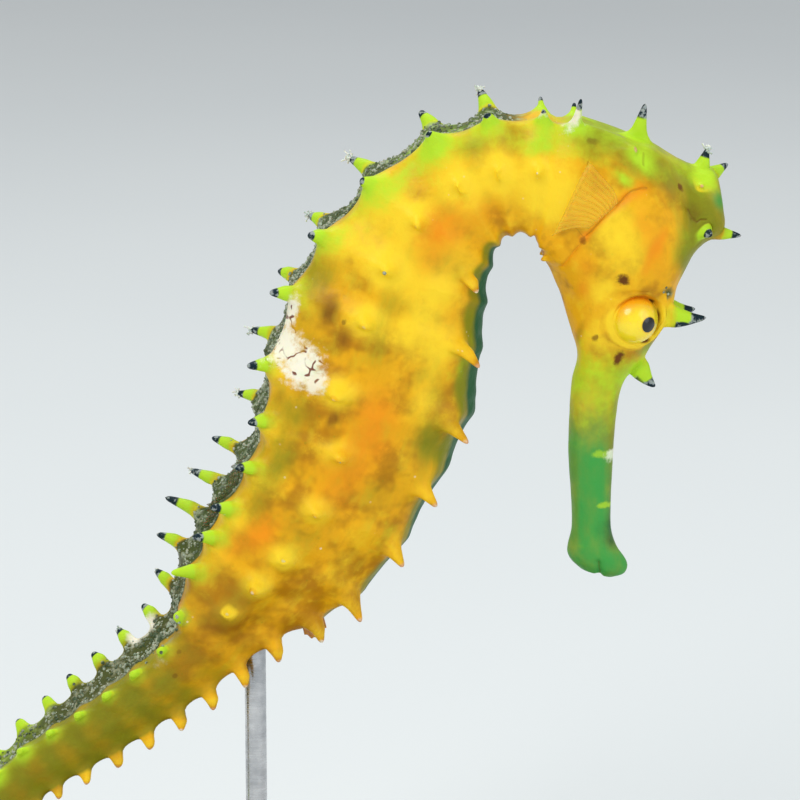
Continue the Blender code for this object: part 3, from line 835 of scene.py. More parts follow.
class Weave:
    """Rows of corners, closed round, that get faces everywhere but in the openings cut into them."""

    def __init__(self, net: Net, rows: list[list[Corner]]) -> None:
        """Starts a weave without openings."""
        self.net, self.rows = net, rows
        self.taken, self.loose = set(), []

    def opening(self, rows: tuple[int, int], columns: tuple[int, int]) -> list[Corner]:
        """Cuts a block of faces out.

        Args:
            rows: First and last row of the block.
            columns: First and last column of the block, which may run past either end.

        Returns:
            The corners round the block in order.
        """
        count = len(self.rows[0])
        (top, bottom), (start, stop) = rows, columns
        walk = [(top, column) for column in range(start, stop)]
        walk += [(row, stop) for row in range(top, bottom)]
        walk += [(bottom, column) for column in range(stop, start, -1)]
        walk += [(row, start) for row in range(bottom, top, -1)]
        faces = {(row, column % count) for row in range(top, bottom) for column in range(start, stop)}
        assert not faces & self.taken, "two openings overlap"
        self.taken |= faces
        for row in range(top + 1, bottom):
            self.loose += [self.rows[row][column % count] for column in range(start + 1, stop)]
        return [self.rows[row][column % count] for row, column in walk]

    def drop_loose(self) -> None:
        """Removes the corners that are left inside the openings."""
        for corner in self.loose:
            self.net.mesh.verts.remove(corner)
        self.loose.clear()

    def close(self) -> None:
        """Lays the faces."""
        lay_bands(self.net.mesh, self.rows, taken=self.taken)
        self.drop_loose()


# --- markings
class Tint(Enum):
    """The colours that lie over the golden ground of the skin."""

    YELLOW = "tint_yellow"
    ORANGE = "tint_orange"
    OLIVE = "tint_olive"
    GREEN = "tint_green"
    LIME = "tint_lime"
    BROWN = "tint_brown"
    DEEP = "tint_deep"
    PALE = "tint_pale"
    CRUST = "tint_crust"
    ROSE = "tint_rose"
    TIP = "tint_tip"


class Side(Enum):
    """Which side of the animal a marking lies on, as the sign of its left direction."""

    RIGHT = -1.0
    LEFT = 1.0
    BOTH = 0.0


@dataclass(frozen=True)
class Mark:
    """A patch of colour: its place, its height above the backbone and its half sizes."""

    tint: Tint
    side: Side
    at: float
    back: float
    long: float
    high: float
    strength: float = 1.0


@dataclass(frozen=True)
class Crease:
    """A fold in the skin along a line of (place, height) points, with the colour that lies in it; a brown
    one is painted shade in the fold.
    """

    line: tuple
    depth: float
    width: float
    tint: Tint
    strength: float
    glow: float = 0.0


def marks(tint: Tint, *rows: tuple, side: Side = Side.BOTH) -> tuple[Mark, ...]:
    """Marks of one tint, from rows of place, height, half length, half height and strength."""
    return tuple(Mark(tint, side, *row) for row in rows)


# Broad soft patches, written on the skin's corners, with a few painted shades and one painted highlight
# among them.
MARKS = (
    *marks(
        Tint.PALE,
        (61.0, 4.0, 1.8, 1.5, 1.0),
        side=Side.LEFT,
    ),
    *marks(
        Tint.PALE,
        (83.6, 0.9, 1.5, 1.3, 0.5),
        side=Side.RIGHT,
    ),
    *marks(
        Tint.PALE,
        (84.0, 2.9, 2.0, 0.8, 0.9),
    ),
    *marks(
        Tint.BROWN,
        (52.4, 3.4, 1.3, 0.75, 0.8), (53.8, 2.0, 1.1, 0.75, 0.75), (55.4, 0.9, 1.2, 0.6, 0.5),
        (59.5, 1.2, 0.8, 0.5, 1.0), (58.9, 5.3, 1.0, 0.6, 0.6), (66.0, 2.2, 2.4, 1.0, 0.32),
        (51.2, 4.4, 2.2, 1.3, 0.4), (61.2, 3.4, 2.6, 1.0, 0.3),
        side=Side.RIGHT,
    ),
    *marks(
        Tint.OLIVE,
        # The patches at (24.2, 4.7), (24.4, 5.2) and (26.2, 5.9) are painted shade along the front edge of
        # the head and in the crown's hollow.
        (66.2, 3.8, 2.2, 1.0, 0.5), (69.2, 0.0, 2.2, 1.4, 0.3), (60.6, -6.2, 2.0, 1.0, 0.85),
        (50.6, 5.4, 2.4, 1.0, 0.5), (31.0, 2.0, 1.4, 0.9, 0.2), (24.9, 3.8, 1.0, 0.7, 0.35),
        (26.8, 7.6, 1.3, 0.8, -0.9), (61.5, 3.9, 3.0, 1.2, 0.5), (31.2, 4.0, 2.4, 1.2, 0.72),
        (24.2, 4.7, 1.4, 0.8, 0.9), (29.0, 4.6, 1.6, 1.2, 0.7), (26.2, 5.9, 1.3, 1.2, 1.0),
        (24.4, 5.2, 1.6, 0.7, 0.6), (37.5, 2.6, 3.0, 1.0, 0.5), (52.0, -0.6, 3.0, 1.0, 0.5),
        (57.5, -5.9, 3.6, 1.3, 0.35), (64.5, -3.6, 3.0, 1.2, 0.3), (32.4, 3.0, 2.0, 1.1, 0.5),
        (19.0, 0.9, 0.8, 0.9, 0.4),
    ),
    *marks(
        Tint.BROWN,
        (49.0, 3.0, 2.2, 1.0, 0.7),
        side=Side.LEFT,
    ),
    *marks(
        Tint.BROWN,
        # The patch at (26.3, 5.9) is painted shade in the crown's hollow.
        (24.0, 3.9, 1.8, 0.6, 0.35), (26.4, 5.3, 1.0, 0.5, 0.5), (18.4, -2.2, 1.6, 0.4, 0.6),
        (72.2, 2.4, 1.8, 0.9, 0.3), (68.6, 1.0, 2.6, 1.4, 0.2), (76.5, 0.5, 3.0, 1.8, 0.4),
        (26.3, 5.9, 0.8, 0.7, 0.4),
    ),
    *marks(
        Tint.ORANGE,
        (44.5, -1.8, 4.0, 2.2, 0.6), (59.0, -1.8, 3.2, 2.0, 1.0), (64.0, -0.6, 3.4, 2.4, 0.7),
        (70.2, 2.6, 2.2, 1.2, 1.1), (72.8, 3.8, 2.0, 1.2, 0.6), (39.0, -2.5, 3.0, 1.6, 0.5),
        (21.9, -2.9, 0.9, 0.6, 0.8), (26.8, 1.8, 1.6, 1.0, 0.7), (24.4, 2.4, 1.6, 0.9, 0.5),
        (24.4, -2.8, 1.6, 0.9, 0.6), (43.5, -0.8, 2.2, 1.4, 0.6),
    ),
    *marks(
        Tint.LIME,
        (34.6, 1.8, 1.6, 0.9, 0.42), (41.2, 2.6, 4.5, 1.6, 0.4), (45.8, 4.6, 2.4, 1.0, 0.35),
        (35.0, 1.6, 1.6, 1.0, 0.4), (66.6, -5.6, 1.8, 0.9, 0.45), (53.2, -6.6, 2.2, 0.8, 0.5),
        (31.0, 4.5, 2.6, 1.2, 0.5), (33.4, 3.4, 1.8, 1.2, 0.36), (31.5, 2.7, 2.0, 1.3, 0.15),
        (29.6, 4.0, 0.8, 0.6, 0.8), (31.6, 2.0, 1.5, 0.8, 0.35), (25.2, 4.6, 1.1, 0.7, 0.4),
        (2.3, -1.0, 0.7, 0.5, 0.35), (29.5, 2.3, 0.75, 0.5, 0.8), (30.4, 5.4, 0.9, 0.6, 0.5),
        (28.5, 7.0, 1.1, 1.2, 1.2), (42.0, 3.4, 3.4, 0.7, 0.4),
    ),
    *marks(
        Tint.YELLOW,
        # The patch at (0.6, 0.6) is a painted highlight on the lips.
        (34.0, 1.2, 2.0, 1.2, 0.4), (33.2, -1.9, 3.2, 2.0, 1.1), (40.5, -0.4, 4.0, 2.6, 0.7),
        (47.0, 0.2, 3.5, 2.4, 0.75), (51.5, -2.2, 3.5, 1.6, 0.5), (45.6, 3.4, 2.6, 1.6, 0.6),
        (25.0, 4.4, 1.4, 0.9, 0.6), (0.6, 0.6, 0.8, 0.5, 0.35), (26.6, 0.1, 3.4, 2.4, 1.05),
        (18.6, -0.6, 1.8, 1.6, 0.9), (31.5, -1.6, 2.0, 2.2, 0.7), (22.2, -1.6, 1.4, 1.2, 0.8),
        (29.4, -0.8, 0.9, 1.6, 0.7), (48.5, -3.4, 4.5, 1.4, 0.7), (55.0, -5.0, 5.0, 1.2, 0.7),
        (68.6, -4.0, 2.2, 1.0, 0.5), (28.0, 6.4, 1.8, 1.6, 0.8), (30.3, 4.9, 1.4, 1.0, 0.6),
    ),
    *marks(
        Tint.CRUST,
        (82.5, 2.6, 3.6, 1.2, 0.9),
        side=Side.RIGHT,
    ),
    *marks(
        Tint.GREEN,
        # The patches at (24.2, 5.6) and (26.7, 7.5) are painted shade along the front edge of the head and
        # crown.
        (31.6, 3.6, 2.4, 1.0, 0.4), (29.0, 5.6, 1.6, 0.9, 0.4), (28.0, 4.9, 1.6, 0.9, 0.2),
        (24.2, 5.6, 1.3, 0.6, 0.45), (26.7, 7.5, 1.4, 0.9, 0.95), (18.6, 2.9, 1.0, 0.8, 0.7),
    ),
    *marks(
        Tint.DEEP,
        (19.2, 3.3, 0.8, 0.5, 0.5),
    ),
)
# Small sharp spots, drawn in the material.
SPOTS = (
    *marks(
        Tint.BROWN,
        (23.4, -0.1, 0.5, 0.48, 1.0), (17.4, 1.05, 0.7, 0.36, 1.0), (18.4, -1.07, 0.3, 0.24, 0.7),
        (27.3, -2.6, 0.5, 0.3, 0.6), (32.0, 3.1, 0.3, 0.22, 0.5), (27.75, 5.35, 0.16, 0.16, 0.9),
        (52.4, 2.34, 0.26, 0.22, 0.6), (83.4, -0.6, 0.3, 0.2, 0.5), (81.9, 0.6, 0.2, 0.2, 0.5),
    ),
    *marks(
        Tint.PALE,
        (53.3, 6.2, 1.5, 0.6, 1.0), (54.7, 7.1, 1.7, 0.9, 0.9), (55.4, 5.9, 1.3, 1.2, 1.0),
        (56.4, 4.3, 1.5, 1.5, 1.0), (57.1, 3.1, 1.0, 0.9, 0.9), (33.3, 4.7, 0.6, 1.5, 1.0),
        (34.8, 4.6, 0.55, 0.8, 1.0),
        side=Side.RIGHT,
    ),
    *marks(
        Tint.PALE,
        (9.55, 1.3, 0.42, 0.62, 1.0),
    ),
    *marks(
        Tint.LIME,
        (5.75, 0.9, 0.24, 0.62, 0.7), (9.7, 0.5, 0.3, 0.7, 0.6),
    ),
)
# Folds of the skin; brown drawn along a fold is painted shade in it.
CREASES = (
    Crease(
        ((28.6, 3.1), (28.8, 2.0), (28.7, 0.8), (28.6, 0.0), (28.35, -1.0), (27.75, -2.3)),
        0.2, 0.07, Tint.BROWN, 0.28, 0.9,
    ),
    Crease(
        ((26.1, 3.2), (25.6, 2.6), (25.1, 2.0), (24.6, 1.6), (23.9, 1.3)),
        0.1, 0.1, Tint.ORANGE, 0.5, 0.6,
    ),
    Crease(((27.2, -2.65), (26.6, -3.3), (25.6, -4.0), (24.1, -4.5)), 0.12, 0.12, Tint.ORANGE, 0.7, 0.5),
    Crease(
        ((31.75, 1.7), (31.4, 0.9), (31.25, -0.1), (31.25, -0.9), (31.1, -1.7), (30.9, -2.4)),
        0.12, 0.05, Tint.BROWN, 0.3, 0.25,
    ),
    Crease(((30.35, 0.85), (30.55, 0.3), (30.8, -1.0), (30.85, -2.0)), 0.1, 0.05, Tint.BROWN, 0.25),
    Crease(((29.95, 1.0), (30.1, 0.4), (30.4, -0.2)), 0.09, 0.05, Tint.BROWN, 0.25),
    Crease(((30.85, -2.5), (29.5, -2.6), (28.1, -2.5), (27.4, -2.6)), 0.1, 0.06, Tint.BROWN, 0.3, 0.5),
    Crease(((26.7, 5.2), (26.2, 5.2), (25.8, 5.5), (25.65, 6.2)), 0.14, 0.1, Tint.BROWN, 0.6),
    Crease(((29.75, 4.6), (29.45, 4.0)), 0.08, 0.07, Tint.BROWN, 0.3),
    Crease(((-0.4, 0.4), (0.5, 0.32), (1.1, 0.3)), 0.2, 0.09, Tint.BROWN, 0.3, 0.5),
)


# --- skin
@dataclass
class Eyes:
    """Both eyeballs: flattened balls set in the sides of the head and turned a little forwards."""

    line: Backbone
    at: float = 20.45
    back: float = 1.35
    side: float = 1.95
    radius: float = 1.75
    depth: float = 1.4
    turn: float = 24.0
    pupil_shift: tuple = (0.42, -0.2)
    pupil: float = 0.55
    pupil_bulge: float = 0.07
    spans: int = 56
    rings: int = 30

    def centre(self, side: float) -> Point:
        """Middle of the eyeball. Side is 1 for the left and -1 for the right."""
        centre, _, back, _ = self.line.frame(self.at)
        return centre + back * self.back + np.array([0.0, side * self.side, 0.0])

    def away(self, points: Point) -> Values:
        """How far points are from the middle of the nearer eyeball."""
        return np.minimum(*(np.linalg.norm(points - self.centre(side), axis=1) for side in SIDES))

    def gaze(self, side: float) -> tuple[Point, Point, Point]:
        """Directions at one eye.

        Args:
            side: 1 for the left eye and -1 for the right.

        Returns:
            The direction it looks in, and those across it towards the brow and upwards.
        """
        turn = math.radians(self.turn)
        look = np.array([math.sin(turn), side * math.cos(turn), 0.0])
        fore = np.array([math.cos(turn), -side * math.sin(turn), 0.0])
        return look, fore, np.array([0.0, 0.0, 1.0])

    def height(self, radius: float) -> float:
        """How far the ball stands out along the gaze at a distance from its axis."""
        return self.depth * math.sqrt(max(0.0, 1.0 - (radius / self.radius) ** 2))

    def build(self, side: float, finish: "EyeFinish") -> Piece:
        """Builds one eyeball with a clear bulge over the pupil.

        Args:
            side: 1 for the left eye and -1 for the right.
            finish: The eye's finish.

        Returns:
            The eyeball.
        """
        name = "eye_left" if side > 0 else "eye_right"
        centre, (look, fore, up) = self.centre(side), self.gaze(side)
        mesh = bmesh.new()
        keys = ("from_pupil", "from_axis", "upward", "forward")
        layers = [mesh.verts.layers.float.new(key) for key in keys]

        def corner(polar: float, spin: float) -> Corner:
            """Adds one corner of the ball and its readings.

            Args:
                polar: The angle from the gaze.
                spin: The angle round the gaze.

            Returns:
                The corner.
            """
            across, out = self.radius * math.sin(polar), self.depth * math.cos(polar)
            x, y = across * math.cos(spin), across * math.sin(spin)
            away = math.hypot(x - self.pupil_shift[0], y - self.pupil_shift[1])
            out += self.pupil_bulge * float(bell(away, self.pupil * 1.1)) if out > 0.0 else 0.0
            made = mesh.verts.new(Vector(centre + fore * x + up * y + look * out) * MM)
            hidden = 0.0 if polar < math.pi / 2.0 else 5.0
            for layer, value in zip(layers, (away + hidden, across, y, x)):
                made[layer] = value
            return made

        rows = []
        for ring in range(1, self.rings):
            polar = math.pi * ring / self.rings
            rows.append([corner(polar, 2.0 * math.pi * step / self.spans) for step in range(self.spans)])
        lay_bands(mesh, rows)
        for row, polar in ((rows[0], 0.0), (rows[-1], math.pi)):
            pole = corner(polar, 0.0)
            for step in range(self.spans):
                mesh.faces.new((row[step], row[(step + 1) % self.spans], pole))
        return registered(solid(mesh, name + "_ball", finish.make()), "eye", name)


@dataclass
class Skin:
    """The one skin of the whole animal, with spines, crown and eye sockets stitched in.

    The orbit's loops are a radius, how far they are lifted and how closely they hug the eyeball. The
    mouth's loops are how far the lips' outline shrinks and how deep it lies.
    """

    line: Backbone
    rings: Rings
    body: Body
    crown: Crown
    eyes: Eyes
    column_step: float = 1.0 / 7.0
    row_step: float = 0.55
    head_row_step: float = 0.4
    head_rows: tuple = (15.0, 33.5)
    tail_row_step: float = 0.62
    tail_rows_from: float = 97.0
    head_spines: tuple = (
        Spine(16.75, 0.0, 2.4, -34.0, 0.0, 0.95, 0.12, SpineKind.LIME, 0.35, 1.1, 0.2),
        Spine(21.1, 7.43, 3.2, 8.0, -14.0, 1.0, 0.13, SpineKind.LIME, 0.45, 1.2, 0.16),
        Spine(21.1, 0.57, 2.6, 8.0, -14.0, 0.95, 0.13, SpineKind.LIME, 0.4, 1.1, 0.14),
        Spine(30.2, 0.0, 2.9, 27.0, 0.0, 0.72, 0.13, SpineKind.LIME, 0.25, 0.9),
        Spine(30.2, 1.14, 0.4, -15.0, 0.0, 0.5, 0.2, SpineKind.PALE, 0.15, 0.8),
        Spine(30.2, 6.86, 0.4, -15.0, 0.0, 0.5, 0.2, SpineKind.PALE, 0.15, 0.8),
        Spine(25.6, 3.57, 0.5, -10.0, 0.0, 0.3, 0.12, SpineKind.PALE, 0.1, 0.5),
        Spine(25.6, 4.43, 0.5, -10.0, 0.0, 0.3, 0.12, SpineKind.PALE, 0.1, 0.5),
    )
    eye_reach: float = 2.1
    eye_columns: tuple = (6, 17)
    eye_around: float = 1.6
    orbit: tuple = (
        (2.3, 0.0, 0.0),
        (2.12, 0.03, 0.0),
        (1.99, 0.06, 0.05),
        (1.88, 0.07, 0.4),
        (1.79, 0.05, 0.8),
        (1.72, 0.02, 1.0),
        (1.65, -0.1, 1.0),
        (1.25, -0.5, 1.0),
        (0.6, -1.3, 1.0),
    )
    mouth: tuple = ((0.86, -0.06), (0.62, 0.12), (0.42, 0.7), (0.3, 1.3))
    mouth_depth: float = 1.4
    nodes: tuple = (
        "snout", "head", "neck", "trunk_front", "trunk_rear",
        "tail_1", "tail_2", "tail_3", "tail_4", "tail_5", "tail_6", "coronet",
    )
    ripple: float = 0.05
    ripple_seed: int = 11
    tips: list = field(default_factory=list)

    def all_spines(self) -> list[Spine]:
        """Every spine of the animal apart from the crown's."""
        ringed = [self.rings.spines(number) for number in range(len(self.rings.places) - 1)]
        return [*self.head_spines, *(spine for ring in ringed for spine in ring)]

    def axis_of(self, spine: Spine) -> tuple[Point, Point]:
        """Where a spine stands and points.

        Args:
            spine: The spine.

        Returns:
            Its foot on the bare skin and its tip, in millimetres.
        """
        _, along, _, left = self.line.frame(spine.at)
        side = left if spine.around <= 4.0 else -left
        lean, splay = math.tan(math.radians(spine.lean)), math.tan(math.radians(spine.splay))
        axis = unit(self.body.outward(spine.at, spine.around) + along * lean + side * splay)
        root = self.body.point(spine.at, spine.around)
        return root, root + axis * spine.length

    def row_places(self, spines: list[Spine]) -> list[float]:
        """Where the rows of the net lie: on every spine, with even steps between.

        Args:
            spines: The spines that need a row of their own.

        Returns:
            The places, rising.
        """
        stops = sorted({0.0, 0.35, self.line.end, self.crown.at} | {round(spine.at, 3) for spine in spines})
        stops = [stop for index, stop in enumerate(stops) if index == 0 or stop - stops[index - 1] > 0.02]
        places = [stops[0]]
        for stop in stops[1:]:
            first = places[-1]
            step = self.tail_row_step if stop > self.tail_rows_from else self.row_step
            step = self.head_row_step if self.head_rows[0] < stop < self.head_rows[1] else step
            parts = max(1, math.ceil((stop - first) / step - 0.2))
            places += [first + (stop - first) * part / parts for part in range(1, parts + 1)]
        return places

    def build_net(self) -> Net:
        """Lays the net of the skin and closes it at both ends."""
        spines = self.all_spines()
        self.body.plant(spines)
        places = self.row_places(spines)
        around = np.arange(0.0, 8.0, self.column_step)
        net, grid = Net(), []
        for at in places:
            points = self.body.swollen(at, self.body.row(at, around))
            grid.append([net.corner(point, at, turn) for point, turn in zip(points, around)])
        weave = Weave(net, grid)

        def opening(at: float, reach: float, start: int, stop: int) -> list[Corner]:
            """Cuts an opening as far as the nearest rows that are a reach away from a place.

            Args:
                at: The place in the middle.
                reach: The least distance.
                start: The first column.
                stop: The last column.

            Returns:
                The corners round it.
            """
            before = max(row for row, place in enumerate(places) if place <= at - reach)
            after = min(row for row, place in enumerate(places) if place >= at + reach)
            return weave.opening((before, after), (start, stop))

        for spine in spines:
            column = round(spine.around / self.column_step)
            self._grow(net, opening(spine.at, spine.reach, column - 1, column + 1), spine)
        for side in SIDES:
            start, stop = self.eye_columns
            if side < 0:
                start, stop = len(around) - stop, len(around) - start
            self._sink_socket(net, opening(self.eyes.at, self.eye_reach, start, stop), side)
        wide = self.crown.half_columns
        self._raise_crown(net, opening(self.crown.at, self.crown.half, -wide, wide))
        weave.close()
        self._close_mouth(net, grid[0])
        end = self.line.frame(self.line.end)[0]
        net.cap(grid[-1], net.corner(end, self.line.end, 0.0))
        return net

    def _grow(self, net: Net, ring: list[Corner], spine: Spine) -> None:
        """Grows a spine out of its opening and remembers its tip.

        Args:
            net: The skin's net.
            ring: The corners round the opening.
            spine: The spine.
        """
        root, tip = self.axis_of(spine)
        raised = root + self.body.outward(spine.at, spine.around) * spine.boss
        net.grow_spine(ring, raised, tip, spine, self.line.frame(spine.at)[1])
        self.tips.append((spine, tip, unit(tip - root)))

    def _sink_socket(self, net: Net, ring: list[Corner], side: float) -> None:
        """Lays loops from an opening over the rim of the orbit and down behind the eyeball.

        Args:
            net: The skin's net.
            ring: The corners round the opening.
            side: 1 for the left eye and -1 for the right.
        """
        centre, (look, fore, up) = self.eyes.centre(side), self.eyes.gaze(side)
        around = self.eye_around if side > 0 else 8.0 - self.eye_around
        middle = float((self.body.point(self.eyes.at, around) - centre) @ look)
        offsets = [np.array(corner.co) / MM - centre for corner in ring]
        loops = [ring]
        for radius, lift, hug in self.orbit:
            loop = []
            for offset in offsets:
                x, y, height = (float(offset @ way) for way in (fore, up, look))
                far = math.hypot(x, y)
                natural = middle + (height - middle) * min(1.0, radius / far) ** 2
                brow = 0.75 + 0.55 * (0.55 * y + 0.45 * x) / far
                out = (natural + lift * brow) * (1.0 - hug) + (self.eyes.height(radius) + lift) * hug
                point = centre + fore * (x / far * radius) + up * (y / far * radius) + look * out
                loop.append(net.corner(point, self.eyes.at, around))
            loops.append(loop)
        lay_bands(net.mesh, loops)
        net.cap(loops[-1], net.corner(centre - look * 0.15, self.eyes.at, around))

    def _raise_crown(self, net: Net, ring: list[Corner]) -> None:
        """Raises the crown's column and spines out of the head.

        Args:
            net: The skin's net.
            ring: The corners round the opening.
        """
        crown = self.crown
        ring = crown.order(ring)
        foot, axis, tailward, _ = crown.directions()

        def place(point: Point) -> float:
            """The place reading of a point on the crown."""
            return crown.at + float((point - foot) @ tailward) + crown.shift

        loops = [ring]
        for level in crown.levels:
            points = [crown.point(360.0 * column / len(ring), *level) for column in range(len(ring))]
            loops.append([net.corner(point, place(point), 0.0, crown=1.0) for point in points])
        weave = Weave(net, loops)
        for thorn in crown.spines:
            column = round(thorn.turn / 360.0 * len(ring))
            _, long, across = crown.levels[thorn.level - 1]
            root = crown.point(thorn.turn, thorn.root, long * 0.9, across * 0.9)
            tip = crown.point(thorn.turn, thorn.height, thorn.reach, thorn.reach)
            block = weave.opening((thorn.level - 1, thorn.level + 1), (column - 2, column + 2))
            kind = SpineKind.PALE if thorn.foot < 0.4 else SpineKind.LIME
            spine = Spine(place(root), 0.0, 1.0, foot=thorn.foot, tip=0.13, kind=kind)
            net.grow_spine(block, root, tip, spine, tailward)
            self.tips.append((Spine(crown.at, thorn.turn, 1.0), tip, unit(tip - root)))
            weave.drop_loose()
        weave.close()
        net.cap(loops[-1], net.corner(foot + axis * crown.top, crown.at, 0.0, crown=1.0))

    def _close_mouth(self, net: Net, ring: list[Corner]) -> None:
        """Turns the lips in and closes the mouth behind them.

        Args:
            net: The skin's net.
            ring: The first row of the skin.
        """
        centre, along, _, _ = self.line.frame(0.0)
        offsets = [np.array(corner.co) / MM - centre for corner in ring]
        loops = [ring]
        for shrink, depth in self.mouth:
            points = [centre + offset * shrink + along * depth for offset in offsets]
            loops.append([net.corner(point, 0.0, 0.0) for point in points])
        lay_bands(net.mesh, loops)
        net.cap(loops[-1], net.corner(centre + along * self.mouth_depth, 0.0, 0.0))

    def build(self, finish: "SkinFinish") -> Piece:
        """Builds, carves, paints and dresses the skin.

        Args:
            finish: The skin's finish.

        Returns:
            The finished skin.
        """
        rough = solid(self.build_net().mesh, "skin_net")
        smooth = rough.modifiers.new("rounding", "SUBSURF")
        smooth.levels = smooth.render_levels = 1
        skin = settled(rough, "seahorse_skin")
        self.carve_and_paint(skin.data)
        skin.data.materials.append(finish.make())
        return registered(skin, "skin", *self.nodes)

    def carve_and_paint(self, mesh: bpy.types.Mesh) -> None:
        """Presses the folds into the skin and writes its markings and its painted shade and light.

        Args:
            mesh: The rounded mesh with its readings.
        """
        readings = {reading: read(mesh.attributes[reading.value].data, "value") for reading in Reading}
        chart = Chart(self.line, read(mesh.vertices, "co", 3) / MM, readings)
        lift = self._folds(chart) + self._ripples(chart)
        chart.points += read(mesh.vertices, "normal", 3) * lift[:, None]
        mesh.vertices.foreach_set("co", (chart.points * MM).astype(np.float32).ravel())
        mesh.update()
        write(mesh, "height", chart.back)
        write(mesh, "flank", chart.side)
        Painter(self.body, self.rings, self.eyes, self.all_spines()).paint(mesh, chart)

    def _folds(self, chart: "Chart") -> Values:
        """How far the gill cover, the creases and the snout's ridges raise or press the skin.

        Args:
            chart: Where the skin's points lie.

        Returns:
            The lift of each point.
        """
        at, back = chart.at, chart.back
        cover = bell(at - 25.4, 2.9) * bell(back - 0.1, 2.6) * eased(at, 29.2, 28.0)
        lift = 0.3 * cover * (np.abs(chart.side) > 1.0)
        for crease in CREASES:
            lift -= crease.depth * bell(chart.distance(crease.line), crease.width + 0.14)
        ridges = bell(back - 1.15, 0.35) + bell(back + 1.2, 0.35)
        lift += 0.07 * ridges * eased(at, 15.0, 13.0) * eased(at, 2.5, 4.0)
        return lift * (1.0 - eased(chart.share * 6.0)) * eased(self.eyes.away(chart.points), 1.9, 2.7)

    def _ripples(self, chart: "Chart") -> Values:
        """A slight unevenness of the skin, as a sum of waves in fixed directions.

        Args:
            chart: Where the skin's points lie.

        Returns:
            The lift of each point.
        """
        draw = np.random.default_rng(self.ripple_seed)
        lift = np.zeros(len(chart.at))
        for length, height in ((4.6, 1.0), (2.7, 0.7), (1.5, 0.4), (0.9, 0.22)):
            for _ in range(5):
                way = draw.normal(size=3)
                wave = 2.0 * math.pi / length * (chart.points @ unit(way)) + draw.uniform(0.0, 6.28)
                lift += height * np.sin(wave) / 5.0
        size = np.interp(chart.at, [0.0, 15.0, 30.0, 60.0, 90.0, 146.0], [0.3, 0.5, 0.8, 1.5, 0.8, 0.1])
        calm = (1.0 - eased(chart.share * 3.0)) * eased(self.eyes.away(chart.points), 1.9, 2.7)
        return self.ripple * lift * size * calm


class Chart:
    """Where every point of the skin lies on the animal."""

    def __init__(self, line: Backbone, points: Point, readings: dict[Reading, Values]) -> None:
        """Works out each point's place, turn, height and side.

        Args:
            line: The backbone.
            points: The skin's points in millimetres.
            readings: The net's readings at the points.
        """
        self.points = points
        self.at, up, side, self.share, self.lime, self.crown = (readings[reading] for reading in Reading)
        self.around = np.mod(np.arctan2(side, up) * 4.0 / math.pi, 8.0)
        centre, _, back, _ = line.frames(self.at, rolled=False)
        self.back = np.einsum("ij,ij->i", points - centre, back)
        self.side = points[:, 1] - centre[:, 1]

    def on(self, side: Side) -> Values | float:
        """1 on a side of the animal and 0 on the other, with a soft step between."""
        return 1.0 if side is Side.BOTH else eased(0.5 + 0.5 * self.side * side.value)

    def distance(self, line: tuple) -> Values:
        """How far each point is from a line of (place, height) points.

        Args:
            line: The line's points.

        Returns:
            The distances in millimetres.
        """
        spot = np.stack([self.at, self.back], axis=1)
        nearest = np.full(len(self.at), np.inf)
        for first, second in zip(line, line[1:]):
            start, step = np.array(first), np.array(second) - np.array(first)
            share = np.clip(((spot - start) @ step) / (step @ step), 0.0, 1.0)
            nearest = np.minimum(nearest, np.linalg.norm(spot - start - share[:, None] * step, axis=1))
        return nearest


